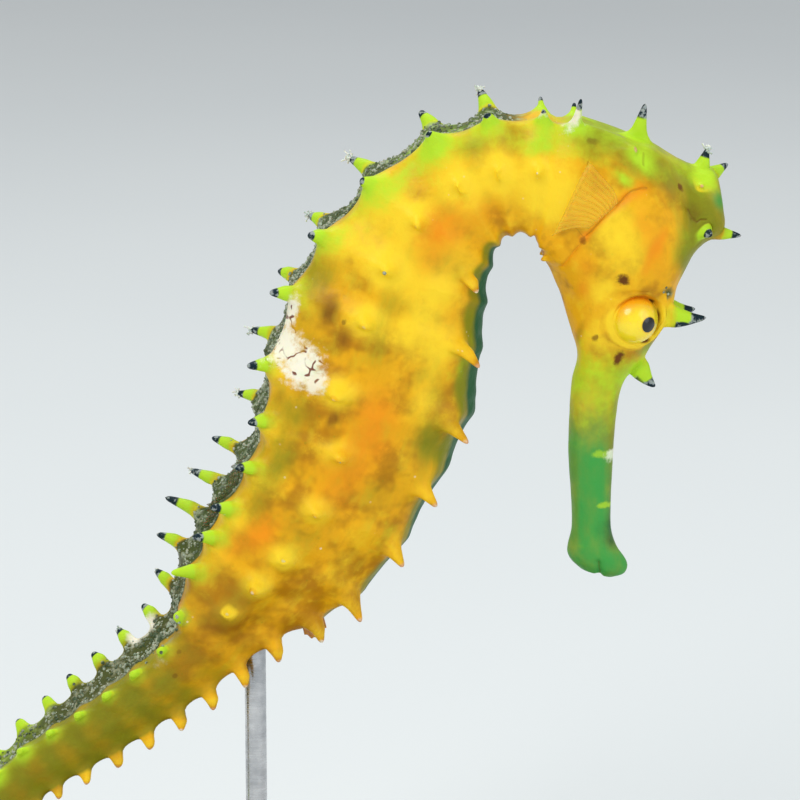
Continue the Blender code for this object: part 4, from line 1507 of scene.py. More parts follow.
@dataclass
class Painter:
    """Writes the skin's broad markings and its painted shade and light as one reading for each tint.

    The spots round each eye are given by how far forwards and upwards they lie and their half sizes; the
    second is painted shadow below the eye.
    """

    body: Body
    rings: Rings
    eyes: Eyes
    spines: list
    # The second eye spot, below the eye, is painted shadow under the eyeball.
    eye_spots: tuple = ((1.6, 0.15, 0.34, 0.6), (0.75, -1.62, 0.45, 0.26), (1.15, 1.3, 0.3, 0.22))

    def paint(self, mesh: bpy.types.Mesh, chart: Chart) -> None:
        """Writes every tint on a mesh.

        Args:
            mesh: The skin's mesh.
            chart: Where its points lie.
        """
        tints = {tint: np.zeros(len(chart.at)) for tint in Tint}
        self._regions(tints, chart)
        self._round_spines(tints, chart)
        self._round_eyes(tints, chart)
        for mark in MARKS:
            spot = bell(chart.at - mark.at, mark.long) * bell(chart.back - mark.back, mark.high)
            tints[mark.tint] += mark.strength * spot * chart.on(mark.side)
        for crease in CREASES:
            tints[Tint.ORANGE] += crease.glow * bell(chart.distance(crease.line), 0.42)
        for tint, values in tints.items():
            write(mesh, tint.value, np.clip(values, 0.0, 1.6))

    def _regions(self, tints: dict[Tint, Values], chart: Chart) -> None:
        """Tints that follow the regions of the body.

        Args:
            tints: The tints to add to.
            chart: Where the points lie.
        """
        at, back, around = chart.at, chart.back, chart.around
        bare = 1.0 - eased(chart.share * 5.0)
        yellow, olive, green, lime, brown, deep, crust = (
            tints[tint]
            for tint in (Tint.YELLOW, Tint.OLIVE, Tint.GREEN, Tint.LIME, Tint.BROWN, Tint.DEEP, Tint.CRUST)
        )
        # The snout: green below, lime towards the eyes. Its darker bridge and underside are painted shade
        # where its sides turn away from the light.
        snout = np.clip((18.5 - at) / 9.0, 0.0, 1.0)
        front = eased(back, 0.55, 1.35) * eased(at, 18.0, 15.5) * eased(at, 1.6, 3.1)
        rear = eased(back, -0.8, -1.3) * eased(at, 11.0, 9.0) * eased(at, 0.6, 2.1)
        low = eased(at, 10.0, 7.0)
        lime += 0.85 * eased(at, 20.0, 15.0) * np.clip((at - 8.0) / 8.0, 0.0, 1.0)
        green += (0.15 + 0.85 * snout) * (at < 18.5) * snout**0.4 * (1.0 - 0.22 * front - 0.12 * rear)
        deep += 0.4 * bell(at - 3.6, 1.3) * eased(back, -0.4, 0.4) + 0.5 * low * front
        olive += 0.9 * front * (1.0 - 0.8 * low) + 0.4 * rear
        # The trunk: painted shade in the valleys between the rings and towards the back, painted light on
        # the rings.
        ring = np.interp(at, self.rings.places, range(len(self.rings.places)))
        valley = 0.5 - 0.5 * np.cos(2.0 * math.pi * ring)
        valley *= eased(at, 34.0, 38.0) * bare
        trunk = eased(at, 33.0, 36.0) * bare
        shade = eased(back, 1.5, 5.0) * trunk * eased(at, 80.0, 74.0)
        olive += 0.3 * valley + 0.28 * shade * eased(at, 44.0, 50.0)
        yellow += 0.25 * (1.0 - valley) * trunk * eased(at, 78.0, 70.0)
        # The keel between the inferior ridges, darkened with painted shade on the underside.
        from_keel = np.abs(around - 4.0)
        strip = eased(from_keel, 1.02, 0.77) * eased(at, 38.0, 42.0) * eased(at, 76.0, 72.0)
        olive += strip * bare
        deep += 1.3 * strip * eased(from_keel, 0.75, 0.3) * bare
        # The band of growth along the back, a little to the left, and a tuft over each eye.
        off_band = np.abs(np.mod(around + 4.0, 8.0) - 4.3)
        crust += eased(off_band, 0.72, 0.5) * eased(at, 34.5, 37.0) * eased(at, 142.0, 134.0) * bare
        crust += 0.9 * bell(at - 22.55, 0.5) * bell(back - 3.3, 0.55)
        # The tail, the crown and the crest before it.
        olive += 0.95 * eased(at, 76.0, 88.0) * bare
        brown += 0.45 * eased(at, 70.0, 79.0) * bare
        lime += 0.55 * eased(at, 90.0, 98.0) * eased(back, -0.4, 2.0) * bare
        olive += 0.75 * chart.crown * bare
        from_back = np.minimum(around, 8.0 - around)
        olive += 0.3 * eased(from_back, 1.5, 0.9) * eased(at, 22.5, 24.5) * eased(at, 34.0, 31.0) * bare

    def _round_spines(self, tints: dict[Tint, Values], chart: Chart) -> None:
        """Tints on the spines and round their feet.

        Args:
            tints: The tints to add to.
            chart: Where the points lie.
        """
        at, share, limed = chart.at, chart.share, np.clip(chart.lime, 0.0, 1.0)
        yellow, lime, tip, rose = (tints[tint] for tint in (Tint.YELLOW, Tint.LIME, Tint.TIP, Tint.ROSE))
        stub = eased(at, 74.0, 76.0) * (chart.side < 0.0)
        lime += 1.15 * limed * eased(share * 3.2)
        # Olive on the lowest part of each lime spine, at its foot, is painted shade where the spine meets
        # the skin.
        tints[Tint.OLIVE] += 0.5 * limed * bell(share - 0.1, 0.12)
        yellow += 0.35 * limed * bell(share - 0.08, 0.14)
        tip += 1.25 * limed * eased(share, 0.44, 0.7) * (1.0 - 0.9 * stub)
        yellow += 0.5 * limed * eased(share, 0.6, 0.9) * stub
        rose += 0.85 * (1.0 - limed) * eased(share, 0.55, 0.95)
        yellow += 0.4 * (1.0 - limed) * eased(share * 3.0) * eased(share, 0.8, 0.5)
        for spine in self.spines:
            near = np.abs(at - spine.at) < 4.0
            root = self.body.point(spine.at, spine.around)
            away = np.linalg.norm(chart.points[near] - root, axis=1)
            scale = 0.4 + 0.6 * min(1.0, spine.foot / 0.6)
            own = away < spine.length + 0.9
            from_keel = abs(spine.around - 4.0)
            if spine.kind is SpineKind.LIME:
                clear = 1.0 - 0.8 * np.clip(tints[Tint.CRUST][near], 0.0, 1.0)
                broad = 1.5 if 34.0 < spine.at < 53.0 else 1.0
                lime[near] += 0.85 * bell(away, broad * scale) * clear
                yellow[near] += 0.6 * bell(away, (broad + 0.9) * scale) * clear
            elif from_keel > 1.5:
                knob = abs(from_keel - 2.0) < 0.4
                yellow[near] += (1.25 if knob else 0.6) * bell(away, 1.25 * scale)
                rose[near] *= 1.0 - own * knob
                speckled = own * knob * eased(share[near], 0.6, 0.9)
                tints[Tint.CRUST][near] += 0.42 * speckled
                tints[Tint.PALE][near] += 0.5 * speckled
            else:
                yellow[near] += 0.35 * bell(away, 1.3 * scale)
            if spine.curl > 0.0:
                under = eased(at[near], spine.at - 0.05, spine.at - 0.65) * eased(share[near], 0.05, 0.3)
                tip[near] += 0.9 * own * under

    def _round_eyes(self, tints: dict[Tint, Values], chart: Chart) -> None:
        """The golden rims of the eye sockets, warmer above, and the brown spots round them, of which the one
        below the eye is painted shadow under the eyeball.

        Args:
            tints: The tints to add to.
            chart: Where the points lie.
        """
        for side in SIDES:
            gap = chart.points - self.eyes.centre(side)
            away = np.linalg.norm(gap, axis=1)
            rim = bell(np.maximum(away - 1.85, 0.0), 0.4)
            above = eased(gap[:, 2], 0.3, 1.3)
            tints[Tint.YELLOW] += 1.2 * rim * (1.0 - 0.7 * above)
            tints[Tint.ORANGE] += rim * (0.15 + 0.55 * above)
            for tint in (Tint.LIME, Tint.OLIVE, Tint.GREEN):
                tints[tint] *= 1.0 - 0.85 * rim
            close = eased(away, 3.2, 2.6)
            for across, up, wide, high in self.eye_spots:
                spot = bell(gap[:, 0] - across, wide) * bell(gap[:, 2] - up, high)
                tints[Tint.BROWN] += 1.3 * close * spot


# --- finishes
class Web:
    """A tree of nodes."""

    def __init__(self, tree: bpy.types.NodeTree) -> None:
        """Takes up a tree."""
        self.tree = tree

    def feed(self, socket: Socket, value: object) -> None:
        """Sets a socket to a value, or links it if the value is a socket itself."""
        if isinstance(value, Socket):
            self.tree.links.new(value, socket)
        else:
            socket.default_value = value

    def put(self, kind: str, inputs: dict, **settings: object) -> bpy.types.Node:
        """Adds a node.

        Args:
            kind: The node's type.
            inputs: Values or sockets for its inputs, by name or index.
            settings: Its own settings.

        Returns:
            The node.
        """
        node = self.tree.nodes.new(kind)
        for key, value in settings.items():
            setattr(node, key, value)
        for key, value in inputs.items():
            self.feed(node.inputs[key], value)
        return node


class Shading(Web):
    """The nodes of one material."""

    def __init__(self, name: str) -> None:
        """Starts a material with a Principled shader.

        Args:
            name: The material's name.
        """
        self.material = bpy.data.materials.new(name)
        self.material.use_nodes = True
        super().__init__(self.material.node_tree)
        self.shader = self.tree.nodes["Principled BSDF"]
        self.object_place = self.tree.nodes.new("ShaderNodeTexCoord").outputs["Object"]

    def reading(self, name: str) -> Socket:
        """A reading of the surface by its name."""
        return self.put("ShaderNodeAttribute", {}, attribute_name=name).outputs["Fac"]

    def noise(self, scale: float, detail: float = 2.0, rough: float = 0.5, seed: float = 0.0) -> Socket:
        """Soft noise over the surface, about 0.5."""
        inputs = {"Vector": self.object_place, "W": seed}
        inputs |= {"Scale": scale, "Detail": detail, "Roughness": rough}
        return self.put("ShaderNodeTexNoise", inputs, noise_dimensions="4D").outputs[0]

    def noise_at(self, place: Socket, detail: float, rough: float = 0.5, scale: float = 1.0) -> Socket:
        """Soft noise at a place of its own, about 0.5."""
        inputs = {"Vector": place, "Scale": scale, "Detail": detail, "Roughness": rough}
        return self.put("ShaderNodeTexNoise", inputs).outputs[0]

    def stretched(self, x: float, y: float, z: float) -> Socket:
        """The place on the object, scaled along its three axes."""
        return self.put("ShaderNodeMapping", {"Vector": self.object_place, "Scale": (x, y, z)}).outputs[0]

    def place(self, x: object, y: object, z: object = 0.0) -> Socket:
        """A place put together from its three parts."""
        return self.put("ShaderNodeCombineXYZ", {0: x, 1: y, 2: z}).outputs[0]

    def cells(self, scale: float, seed: float = 0.0) -> Socket:
        """Distance to the nearest of many scattered points, in cells."""
        inputs = {"Vector": self.object_place, "W": seed, "Scale": scale}
        return self.put("ShaderNodeTexVoronoi", inputs, voronoi_dimensions="4D").outputs["Distance"]

    def maths(self, operation: str, first: object, second: object = 0.0, clamp: bool = False) -> Socket:
        """One sum on two values."""
        inputs = {0: first, 1: second}
        return self.put("ShaderNodeMath", inputs, operation=operation, use_clamp=clamp).outputs[0]

    def plus(self, first: object, second: object) -> Socket:
        """One value added to another."""
        return self.maths("ADD", first, second)

    def times(self, first: object, second: object) -> Socket:
        """One value times another."""
        return self.maths("MULTIPLY", first, second)

    def swing(self, noise: Socket, amount: float) -> Socket:
        """Noise that swings about nothing by an amount."""
        return self.times(self.maths("SUBTRACT", noise, 0.5), amount)

    def greater(self, first: Socket | None, second: Socket) -> Socket:
        """The greater of two values, where the first may be missing."""
        return second if first is None else self.maths("MAXIMUM", first, second)

    def step(
        self, value: object, low: float, high: float, to_low: float = 0.0, to_high: float = 1.0
    ) -> Socket:
        """A smooth step of a value between two limits."""
        inputs = {"Value": value, "From Min": low, "From Max": high, "To Min": to_low, "To Max": to_high}
        return self.put("ShaderNodeMapRange", inputs, interpolation_type="SMOOTHSTEP").outputs[0]

    def mix(self, share: object, first: object, second: object) -> Socket:
        """A mix of two colours."""
        node = self.put("ShaderNodeMix", {"Factor": share}, data_type="RGBA")
        for index, value in ((6, first), (7, second)):
            self.feed(node.inputs[index], (*value, 1.0) if isinstance(value, tuple) else value)
        return node.outputs[2]

    def vector(self, operation: str, first: object, second: object) -> bpy.types.Node:
        """One sum on two vectors."""
        return self.put("ShaderNodeVectorMath", {0: first, 1: second}, operation=operation)

    def from_line(self, spot: Socket, line: tuple) -> Socket:
        """How far a spot is from a line of points.

        Args:
            spot: The spot as a vector of place and height.
            line: The line's points.

        Returns:
            The distance.
        """
        nearest = None
        for first, second in zip(line, line[1:]):
            step = Vector((second[0] - first[0], second[1] - first[1], 0.0))
            gap = self.vector("SUBTRACT", spot, (*first, 0.0)).outputs[0]
            share = self.vector("DOT_PRODUCT", gap, tuple(step / step.length_squared)).outputs["Value"]
            share = self.maths("ADD", share, clamp=True)
            inputs = {0: tuple(step), "Scale": share}
            foot = self.put("ShaderNodeVectorMath", inputs, operation="SCALE").outputs[0]
            away = self.vector("DISTANCE", gap, foot).outputs["Value"]
            nearest = away if nearest is None else self.maths("MINIMUM", nearest, away)
        return nearest

    def from_spot(self, spot: Socket, mark: Mark) -> Socket:
        """How far a spot is from a mark's middle, as a share of the mark's half sizes."""
        gap = self.vector("SUBTRACT", spot, (mark.at, mark.back, 0.0)).outputs[0]
        scaled = self.vector("MULTIPLY", gap, (1.0 / mark.long, 1.0 / mark.high, 0.0)).outputs[0]
        return self.vector("LENGTH", scaled, (0.0, 0.0, 0.0)).outputs["Value"]

    def bump(self, height: Socket, distance: float, strength: float, under: Socket | None = None) -> Socket:
        """A bump from a height, over another bump if there is one."""
        inputs = {"Height": height, "Distance": distance, "Strength": strength}
        if under is not None:
            inputs["Normal"] = under
        return self.put("ShaderNodeBump", inputs).outputs["Normal"]

    def finish(self, **inputs: object) -> Material:
        """Sets the shader's own inputs, by name with low lines for spaces, and gives the material."""
        for key, value in inputs.items():
            self.feed(self.shader.inputs[key.replace("_", " ")], value)
        return self.material


@dataclass(frozen=True)
class SkinFinish:
    """Moist golden skin, mottled with ochre, marked with the tints and flecked with pale painted glints."""

    gold: Colour = (0.82, 0.41, 0.006)
    ochre: Colour = (0.47, 0.20, 0.003)
    yellow: Colour = (0.96, 0.66, 0.024)
    orange: Colour = (0.86, 0.30, 0.006)
    olive: Colour = (0.24, 0.24, 0.008)
    green: Colour = (0.052, 0.34, 0.062)
    lime: Colour = (0.46, 0.71, 0.024)
    brown: Colour = (0.14, 0.045, 0.004)
    deep: Colour = (0.012, 0.10, 0.03)
    pale: Colour = (0.90, 0.85, 0.68)
    mint: Colour = (0.60, 0.80, 0.50)
    crust_light: Colour = (0.33, 0.37, 0.25)
    crust_dark: Colour = (0.06, 0.085, 0.02)
    tip: Colour = (0.004, 0.018, 0.026)
    film: Colour = (0.30, 0.34, 0.33)
    rose: Colour = (0.72, 0.38, 0.20)
    vein: Colour = (0.16, 0.03, 0.015)
    sharp_fold: float = 0.12

    def _ground(self, web: Shading, broad: Socket, fine: Socket, streak: Socket) -> Socket:
        """The golden ground with clouds of ochre, brighter flecks, long streaks and fine darker dots.

        Args:
            web: The nodes of the material.
            broad: Broad noise.
            fine: Fine noise.
            streak: Noise drawn out along the body.

        Returns:
            The ground's colour.
        """
        ground = web.mix(web.step(broad, 0.4, 0.56), self.ochre, self.gold)
        ground = web.mix(web.step(streak, 0.52, 0.72, 0.0, 0.35), ground, self.yellow)
        ground = web.mix(web.step(streak, 0.46, 0.3, 0.0, 0.34), ground, self.ochre)
        ground = web.mix(web.step(fine, 0.54, 0.74, 0.0, 0.3), ground, self.yellow)
        ground = web.mix(web.step(fine, 0.42, 0.28, 0.0, 0.24), ground, self.ochre)
        dot = web.step(web.cells(1900.0, 4.0), 0.24, 0.12)
        return web.mix(web.times(dot, web.step(broad, 0.62, 0.4, 0.0, 0.4)), ground, self.olive)

    def _masks(self, web: Shading) -> tuple[dict[Tint, Socket], Socket]:
        """How strongly the sharp spots and creases colour each place.

        Args:
            web: The nodes of the material.

        Returns:
            One socket for each tint, and the depth of the sharp folds.
        """
        drifted = []
        for name, seed in (("place", 11.0), ("height", 13.0)):
            drift = web.swing(web.noise(650.0, 2.0, 0.5, seed), 0.5)
            drifted.append(web.plus(web.reading(name), drift))
        spot = web.place(*drifted)
        right = web.step(web.reading("flank"), 0.4, -0.4)
        ragged = web.swing(web.noise(1900.0, 3.0, 0.7, 17.0), 1.9)
        masks, folds = {}, None
        for mark in SPOTS:
            away = web.plus(web.from_spot(spot, mark), ragged)
            shown = web.step(away, 1.3, 0.45, 0.0, mark.strength)
            if mark.side is Side.RIGHT:
                shown = web.times(shown, right)
            masks[mark.tint] = web.greater(masks.get(mark.tint), shown)
        # Brown drawn along a crease is painted shade in its fold.
        for crease in CREASES:
            away = web.from_line(spot, crease.line)
            shown = web.step(away, crease.width, crease.width * 0.2, 0.0, crease.strength)
            if crease.depth >= self.sharp_fold:
                folds = web.greater(folds, web.step(away, crease.width * 1.6, 0.0))
            masks[crease.tint] = web.greater(masks.get(crease.tint), shown)
        return masks, folds

    def make(self) -> Material:
        """Makes the material."""
        web = Shading("seahorse_skin")
        broad, fine = web.noise(260.0, 3.0, 0.6, 1.0), web.noise(900.0, 4.0, 0.62, 2.0)
        masks, folds = self._masks(web)
        along = web.times(web.reading("place"), 0.5)
        drawn_out = web.place(along, web.reading("height"), web.reading("flank"))
        streak = web.noise_at(drawn_out, 4.0, 0.55, 0.9)
        # The white patches carry dark veins between the neck and the end of the trunk.
        swirl = web.maths("ABSOLUTE", web.maths("SUBTRACT", web.noise(1050.0, 1.0, 0.4, 7.0), 0.5))
        vein = web.times(web.step(swirl, 0.045, 0.02), web.step(web.noise(700.0, 1.0, 0.5, 9.0), 0.5, 0.54))
        vein = web.times(vein, web.step(web.reading("place"), 45.0, 50.0, 0.0, 0.95))
        vein = web.times(vein, web.step(web.reading("place"), 75.0, 70.0))
        white = web.mix(vein, web.mix(web.step(broad, 0.2, 0.5), self.mint, self.pale), self.vein)
        crusty = web.mix(web.step(fine, 0.5, 0.66), self.crust_dark, self.crust_light)
        filmed = web.mix(web.step(web.noise(2300.0, 2.0, 0.6, 6.0), 0.49, 0.6), self.tip, self.film)
        tipped = web.mix(web.step(web.noise(2600.0, 2.0, 0.6, 8.0), 0.5, 0.66), self.rose, self.pale)
        colour = self._ground(web, broad, fine, streak)
        for tint, over, low, high, ragged in (
            (Tint.YELLOW, self.yellow, 0.1, 1.2, 0.9),
            (Tint.ORANGE, self.orange, 0.12, 1.3, 1.0),
            (Tint.GREEN, self.green, 0.05, 1.12, 0.6),
            (Tint.OLIVE, self.olive, 0.1, 1.35, 0.9),
            (Tint.DEEP, self.deep, 0.1, 1.1, 0.6),
            (Tint.CRUST, crusty, 0.3, 0.9, 1.2),
            (Tint.LIME, self.lime, 0.15, 1.15, 0.9),
            (Tint.BROWN, self.brown, 0.2, 1.25, 0.6),
            (Tint.PALE, white, 0.4, 0.8, 0.9),
            (Tint.ROSE, tipped, 0.25, 0.95, 0.5),
            (Tint.TIP, filmed, 0.25, 0.85, 0.7),
        ):
            uneven = web.swing(streak if tint in (Tint.GREEN, Tint.OLIVE) else fine, ragged)
            shown = web.step(web.plus(web.reading(tint.value), uneven), low, high)
            colour = web.mix(web.greater(masks.get(tint), shown), colour, over)
        # The pale specks are painted glints of lit particles in the water before the skin, not marks of the
        # skin.
        speck = web.times(web.step(web.cells(1300.0, 1.0), 0.15, 0.08), web.step(broad, 0.5, 0.62, 0.0, 0.5))
        relief = web.bump(fine, 0.00022, 0.4, web.bump(web.noise(4200.0, 2.0, 0.5, 3.0), 0.00006, 0.4))
        return web.finish(
            Base_Color=web.mix(speck, colour, self.pale),
            Roughness=web.step(fine, 0.3, 0.7, 0.34, 0.55),
            Normal=web.bump(web.maths("SUBTRACT", 1.0, folds), 0.00016, 0.5, relief),
            Specular_IOR_Level=0.15,
            Subsurface_Weight=0.12,
            Subsurface_Radius=(1.0, 0.55, 0.15),
            Subsurface_Scale=0.0006,
        )


@dataclass(frozen=True)
class EyeFinish:
    """A glossy golden eye with a black pupil and an orange rim."""

    gold: Colour = (0.98, 0.74, 0.016)
    amber: Colour = (0.80, 0.42, 0.008)
    orange: Colour = (0.88, 0.30, 0.005)
    moss: Colour = (0.36, 0.33, 0.02)
    black: Colour = (0.004, 0.004, 0.005)

    def make(self) -> Material:
        """Makes the material."""
        web = Shading("eye_gold")
        away, rim = web.reading("from_pupil"), web.reading("from_axis")
        up, fore = web.reading("upward"), web.reading("forward")
        mottle = web.noise(1500.0, 3.0, 0.6, 5.0)
        colour = web.mix(web.step(mottle, 0.5, 0.75, 0.0, 0.35), self.gold, self.amber)
        high = web.step(web.plus(rim, web.times(up, 0.7)), 1.1, 2.8, 0.0, 0.8)
        colour = web.mix(high, colour, self.orange)
        fore_edge = web.step(web.plus(fore, web.times(mottle, 0.2)), 0.95, 1.25)
        colour = web.mix(web.times(fore_edge, 0.6), colour, self.moss)
        ring = web.maths("ABSOLUTE", web.maths("SUBTRACT", away, 0.62))
        colour = web.mix(web.step(ring, 0.07, 0.01, 0.0, 0.6), colour, self.amber)
        return web.finish(
            Base_Color=web.mix(web.step(away, 0.6, 0.55), colour, self.black),
            Roughness=web.step(mottle, 0.3, 0.7, 0.16, 0.3),
            Normal=web.bump(mottle, 0.00003, 0.25),
            Coat_Weight=0.2,
            Coat_Roughness=0.2,
            Subsurface_Weight=0.08,
            Subsurface_Scale=0.0004,
        )


@dataclass(frozen=True)
class FinFinish:
    """Thin fin skin: pale gold between darker rays, slightly see-through."""

    name: str = "fin_membrane"
    web_colour: Colour = (0.94, 0.60, 0.03)
    ray_colour: Colour = (0.85, 0.47, 0.018)
    opacity: float = 0.3

    def make(self) -> Material:
        """Makes the material."""
        web = Shading(self.name)
        fine = web.noise(1600.0, 3.0, 0.6, 2.0)
        colour = web.mix(web.step(fine, 0.35, 0.7, 0.0, 0.4), self.web_colour, self.ray_colour)
        colour = web.mix(web.step(web.reading("ray"), 0.35, 0.85), colour, self.ray_colour)
        return web.finish(
            Base_Color=web.mix(web.step(web.reading("out"), 0.7, 1.0, 0.0, 0.5), colour, self.web_colour),
            Roughness=web.step(fine, 0.3, 0.7, 0.3, 0.45),
            Normal=web.bump(fine, 0.00005, 0.3),
            Subsurface_Weight=0.3,
            Subsurface_Scale=0.0005,
            Alpha=self.opacity,
        )


@dataclass(frozen=True)
class GrowthFinish:
    """Dry encrusting growth: chalky with grey-green hollows."""

    name: str
    light: Colour
    dark: Colour

    def make(self) -> Material:
        """Makes the material."""
        web = Shading(self.name)
        patch, fine = web.noise(1100.0, 3.0, 0.6, 4.0), web.noise(5200.0, 2.0, 0.5, 6.0)
        colour = web.mix(web.step(patch, 0.38, 0.6), self.dark, self.light)
        return web.finish(
            Base_Color=web.mix(web.step(fine, 0.5, 0.75, 0.0, 0.5), colour, self.dark),
            Roughness=web.step(fine, 0.3, 0.7, 0.7, 0.92),
            Normal=web.bump(fine, 0.00005, 0.5),
            Subsurface_Weight=0.1,
            Subsurface_Scale=0.0003,
        )


@dataclass(frozen=True)
class WoodFinish:
    """Dark oiled wood with long grain."""

    light: Colour = (0.16, 0.075, 0.032)
    dark: Colour = (0.045, 0.02, 0.010)

    def make(self) -> Material:
        """Makes the material."""
        web = Shading("stand_wood")
        along = web.stretched(30.0, 300.0, 300.0)
        inputs = {"Vector": along, "Scale": 0.9, "Distortion": 5.0, "Detail": 3.0, "Detail Scale": 1.2}
        rings = web.put("ShaderNodeTexWave", inputs, bands_direction="Y").outputs["Fac"]
        warp, pores = web.noise_at(along, 5.0, 0.6), web.noise_at(web.stretched(120.0, 2600.0, 2600.0), 2.0)
        colour = web.mix(web.step(rings, 0.0, 1.0, 0.3, 0.75), self.dark, self.light)
        colour = web.mix(web.step(warp, 0.4, 0.65, 0.0, 0.5), colour, self.dark)
        return web.finish(
            Base_Color=web.mix(web.step(pores, 0.58, 0.7, 0.0, 0.6), colour, self.dark),
            Roughness=web.step(pores, 0.4, 0.7, 0.3, 0.5),
            Normal=web.bump(web.plus(web.times(rings, 0.3), pores), 0.00005, 0.25),
            Coat_Weight=0.25,
            Coat_Roughness=0.2,
        )


@dataclass(frozen=True)
class SteelFinish:
    """Brushed steel with faint rubbed marks."""

    light: Colour = (0.62, 0.62, 0.63)
    dark: Colour = (0.38, 0.39, 0.41)

    def make(self) -> Material:
        """Makes the material."""
        web = Shading("stand_steel")
        brushed = web.noise_at(web.stretched(900.0, 900.0, 9000.0), 3.0)
        return web.finish(
            Base_Color=web.mix(web.step(web.noise(350.0, 3.0, 0.6, 8.0), 0.35, 0.7), self.light, self.dark),
            Metallic=1.0,
            Roughness=web.step(brushed, 0.3, 0.7, 0.2, 0.4),
            Normal=web.bump(brushed, 0.00002, 0.3),
        )


@dataclass(frozen=True)
class FloorFinish:
    """A plain pale floor with hardly visible clouding."""

    light: Colour = (0.80, 0.82, 0.82)
    dark: Colour = (0.76, 0.785, 0.79)

    def make(self) -> Material:
        """Makes the material."""
        web = Shading("pale_floor")
        cloud = web.step(web.noise(3.0, 3.0, 0.5, 1.0), 0.3, 0.7)
        return web.finish(Base_Color=web.mix(cloud, self.light, self.dark), Roughness=0.75)


# --- geometry trees
class Tree(Web):
    """A geometry node tree with named inputs."""

    def __init__(self, name: str) -> None:
        """Starts a tree with a geometry input and output.

        Args:
            name: The tree's name.
        """
        super().__init__(bpy.data.node_groups.new(name, "GeometryNodeTree"))
        self.tree.is_modifier = True
        for way in ("INPUT", "OUTPUT"):
            self.tree.interface.new_socket("Geometry", in_out=way, socket_type="NodeSocketGeometry")
        self.start = self.tree.nodes.new("NodeGroupInput")
        self.end = self.tree.nodes.new("NodeGroupOutput")
        self.sizes = {}

    def size(self, name: str, value: float | int, kind: str = "NodeSocketFloat") -> Socket:
        """Adds a named input and gives its socket inside the tree."""
        socket = self.tree.interface.new_socket(name, in_out="INPUT", socket_type=kind)
        self.sizes[socket.identifier] = value
        return self.start.outputs[name]

    def reading(self, name: str) -> Socket:
        """A reading of the incoming mesh by its name."""
        return self.put("GeometryNodeInputNamedAttribute", {"Name": name}, data_type="FLOAT").outputs[0]

    def tube(self, sides: int | Socket, radius: Socket) -> Socket:
        """A tube with closed ends along the incoming lines, scaled by their thick reading.

        Args:
            sides: How many sides it has.
            radius: The radius where the reading is 1.

        Returns:
            The tube.
        """
        thick = self.reading("thick")
        lines = self.put("GeometryNodeMeshToCurve", {0: self.start.outputs[0]}).outputs[0]
        sized = self.put("GeometryNodeSetCurveRadius", {0: lines, "Radius": thick}).outputs[0]
        inputs = {"Resolution": sides, "Radius": radius}
        circle = self.put("GeometryNodeCurvePrimitiveCircle", inputs).outputs[0]
        inputs = {0: sized, 1: circle, "Scale": thick, "Fill Caps": True}
        return self.put("GeometryNodeCurveToMesh", inputs).outputs[0]

    def close(self, geometry: Socket, material: Material) -> None:
        """Ends the tree: instances made real, the material set."""
        real = self.put("GeometryNodeRealizeInstances", {0: geometry})
        dressed = self.put("GeometryNodeSetMaterial", {0: real.outputs[0], "Material": material})
        self.feed(self.end.inputs[0], dressed.outputs[0])

    def run(self, carrier: Piece, name: str) -> Piece:
        """Runs the tree on an object and gives the result as a plain mesh.

        Args:
            carrier: The object that the tree works on. It is used up.
            name: The name of the finished piece.

        Returns:
            The plain mesh object.
        """
        modifier = carrier.modifiers.new("tree", "NODES")
        modifier.node_group = self.tree
        for identifier, value in self.sizes.items():
            modifier[identifier] = value
        made = settled(carrier, name)
        made.data.shade_smooth()
        return made


# --- growths
@dataclass
class Crust:
    """Chalky grains of growth along the back, scattered over the skin's crusty band."""

    skin: Piece
    count_per_square_metre: float = 9.0e6
    keenness: float = 3.0
    least: float = 0.05
    most: float = 0.17
    seed: int = 7

    def build(self, finish: GrowthFinish) -> Piece:
        """Scatters the grains.

        Args:
            finish: The growth's finish.

        Returns:
            The grains as one piece.
        """
        tree = Tree("crust_tree")
        density = tree.size("Grains per square metre", self.count_per_square_metre)
        least, most = tree.size("Least size", self.least * MM), tree.size("Most size", self.most * MM)
        seed = tree.size("Seed", self.seed, "NodeSocketInt")
        inputs = {0: tree.reading(Tint.CRUST.value), 1: self.keenness}
        keen = tree.put("ShaderNodeMath", inputs, operation="POWER").outputs[0]
        share = tree.put("ShaderNodeMath", {0: keen, 1: density}, operation="MULTIPLY").outputs[0]
        inputs = {"Mesh": tree.start.outputs[0], "Density": share, "Seed": seed}
        spread = tree.put("GeometryNodeDistributePointsOnFaces", inputs).outputs
        grain = tree.put("GeometryNodeMeshIcoSphere", {"Radius": 1.0, "Subdivisions": 1}).outputs[0]
        inputs = {2: least, 3: most, "Seed": seed}
        size = tree.put("FunctionNodeRandomValue", inputs, data_type="FLOAT").outputs[1]
        inputs = {"Points": spread[0], "Instance": grain, "Rotation": spread[2], "Scale": size}
        tree.close(tree.put("GeometryNodeInstanceOnPoints", inputs).outputs[0], finish.make())
        carrier = link("crust_carrier", self.skin.data.copy())
        return registered(tree.run(carrier, "back_crust"), "skin")


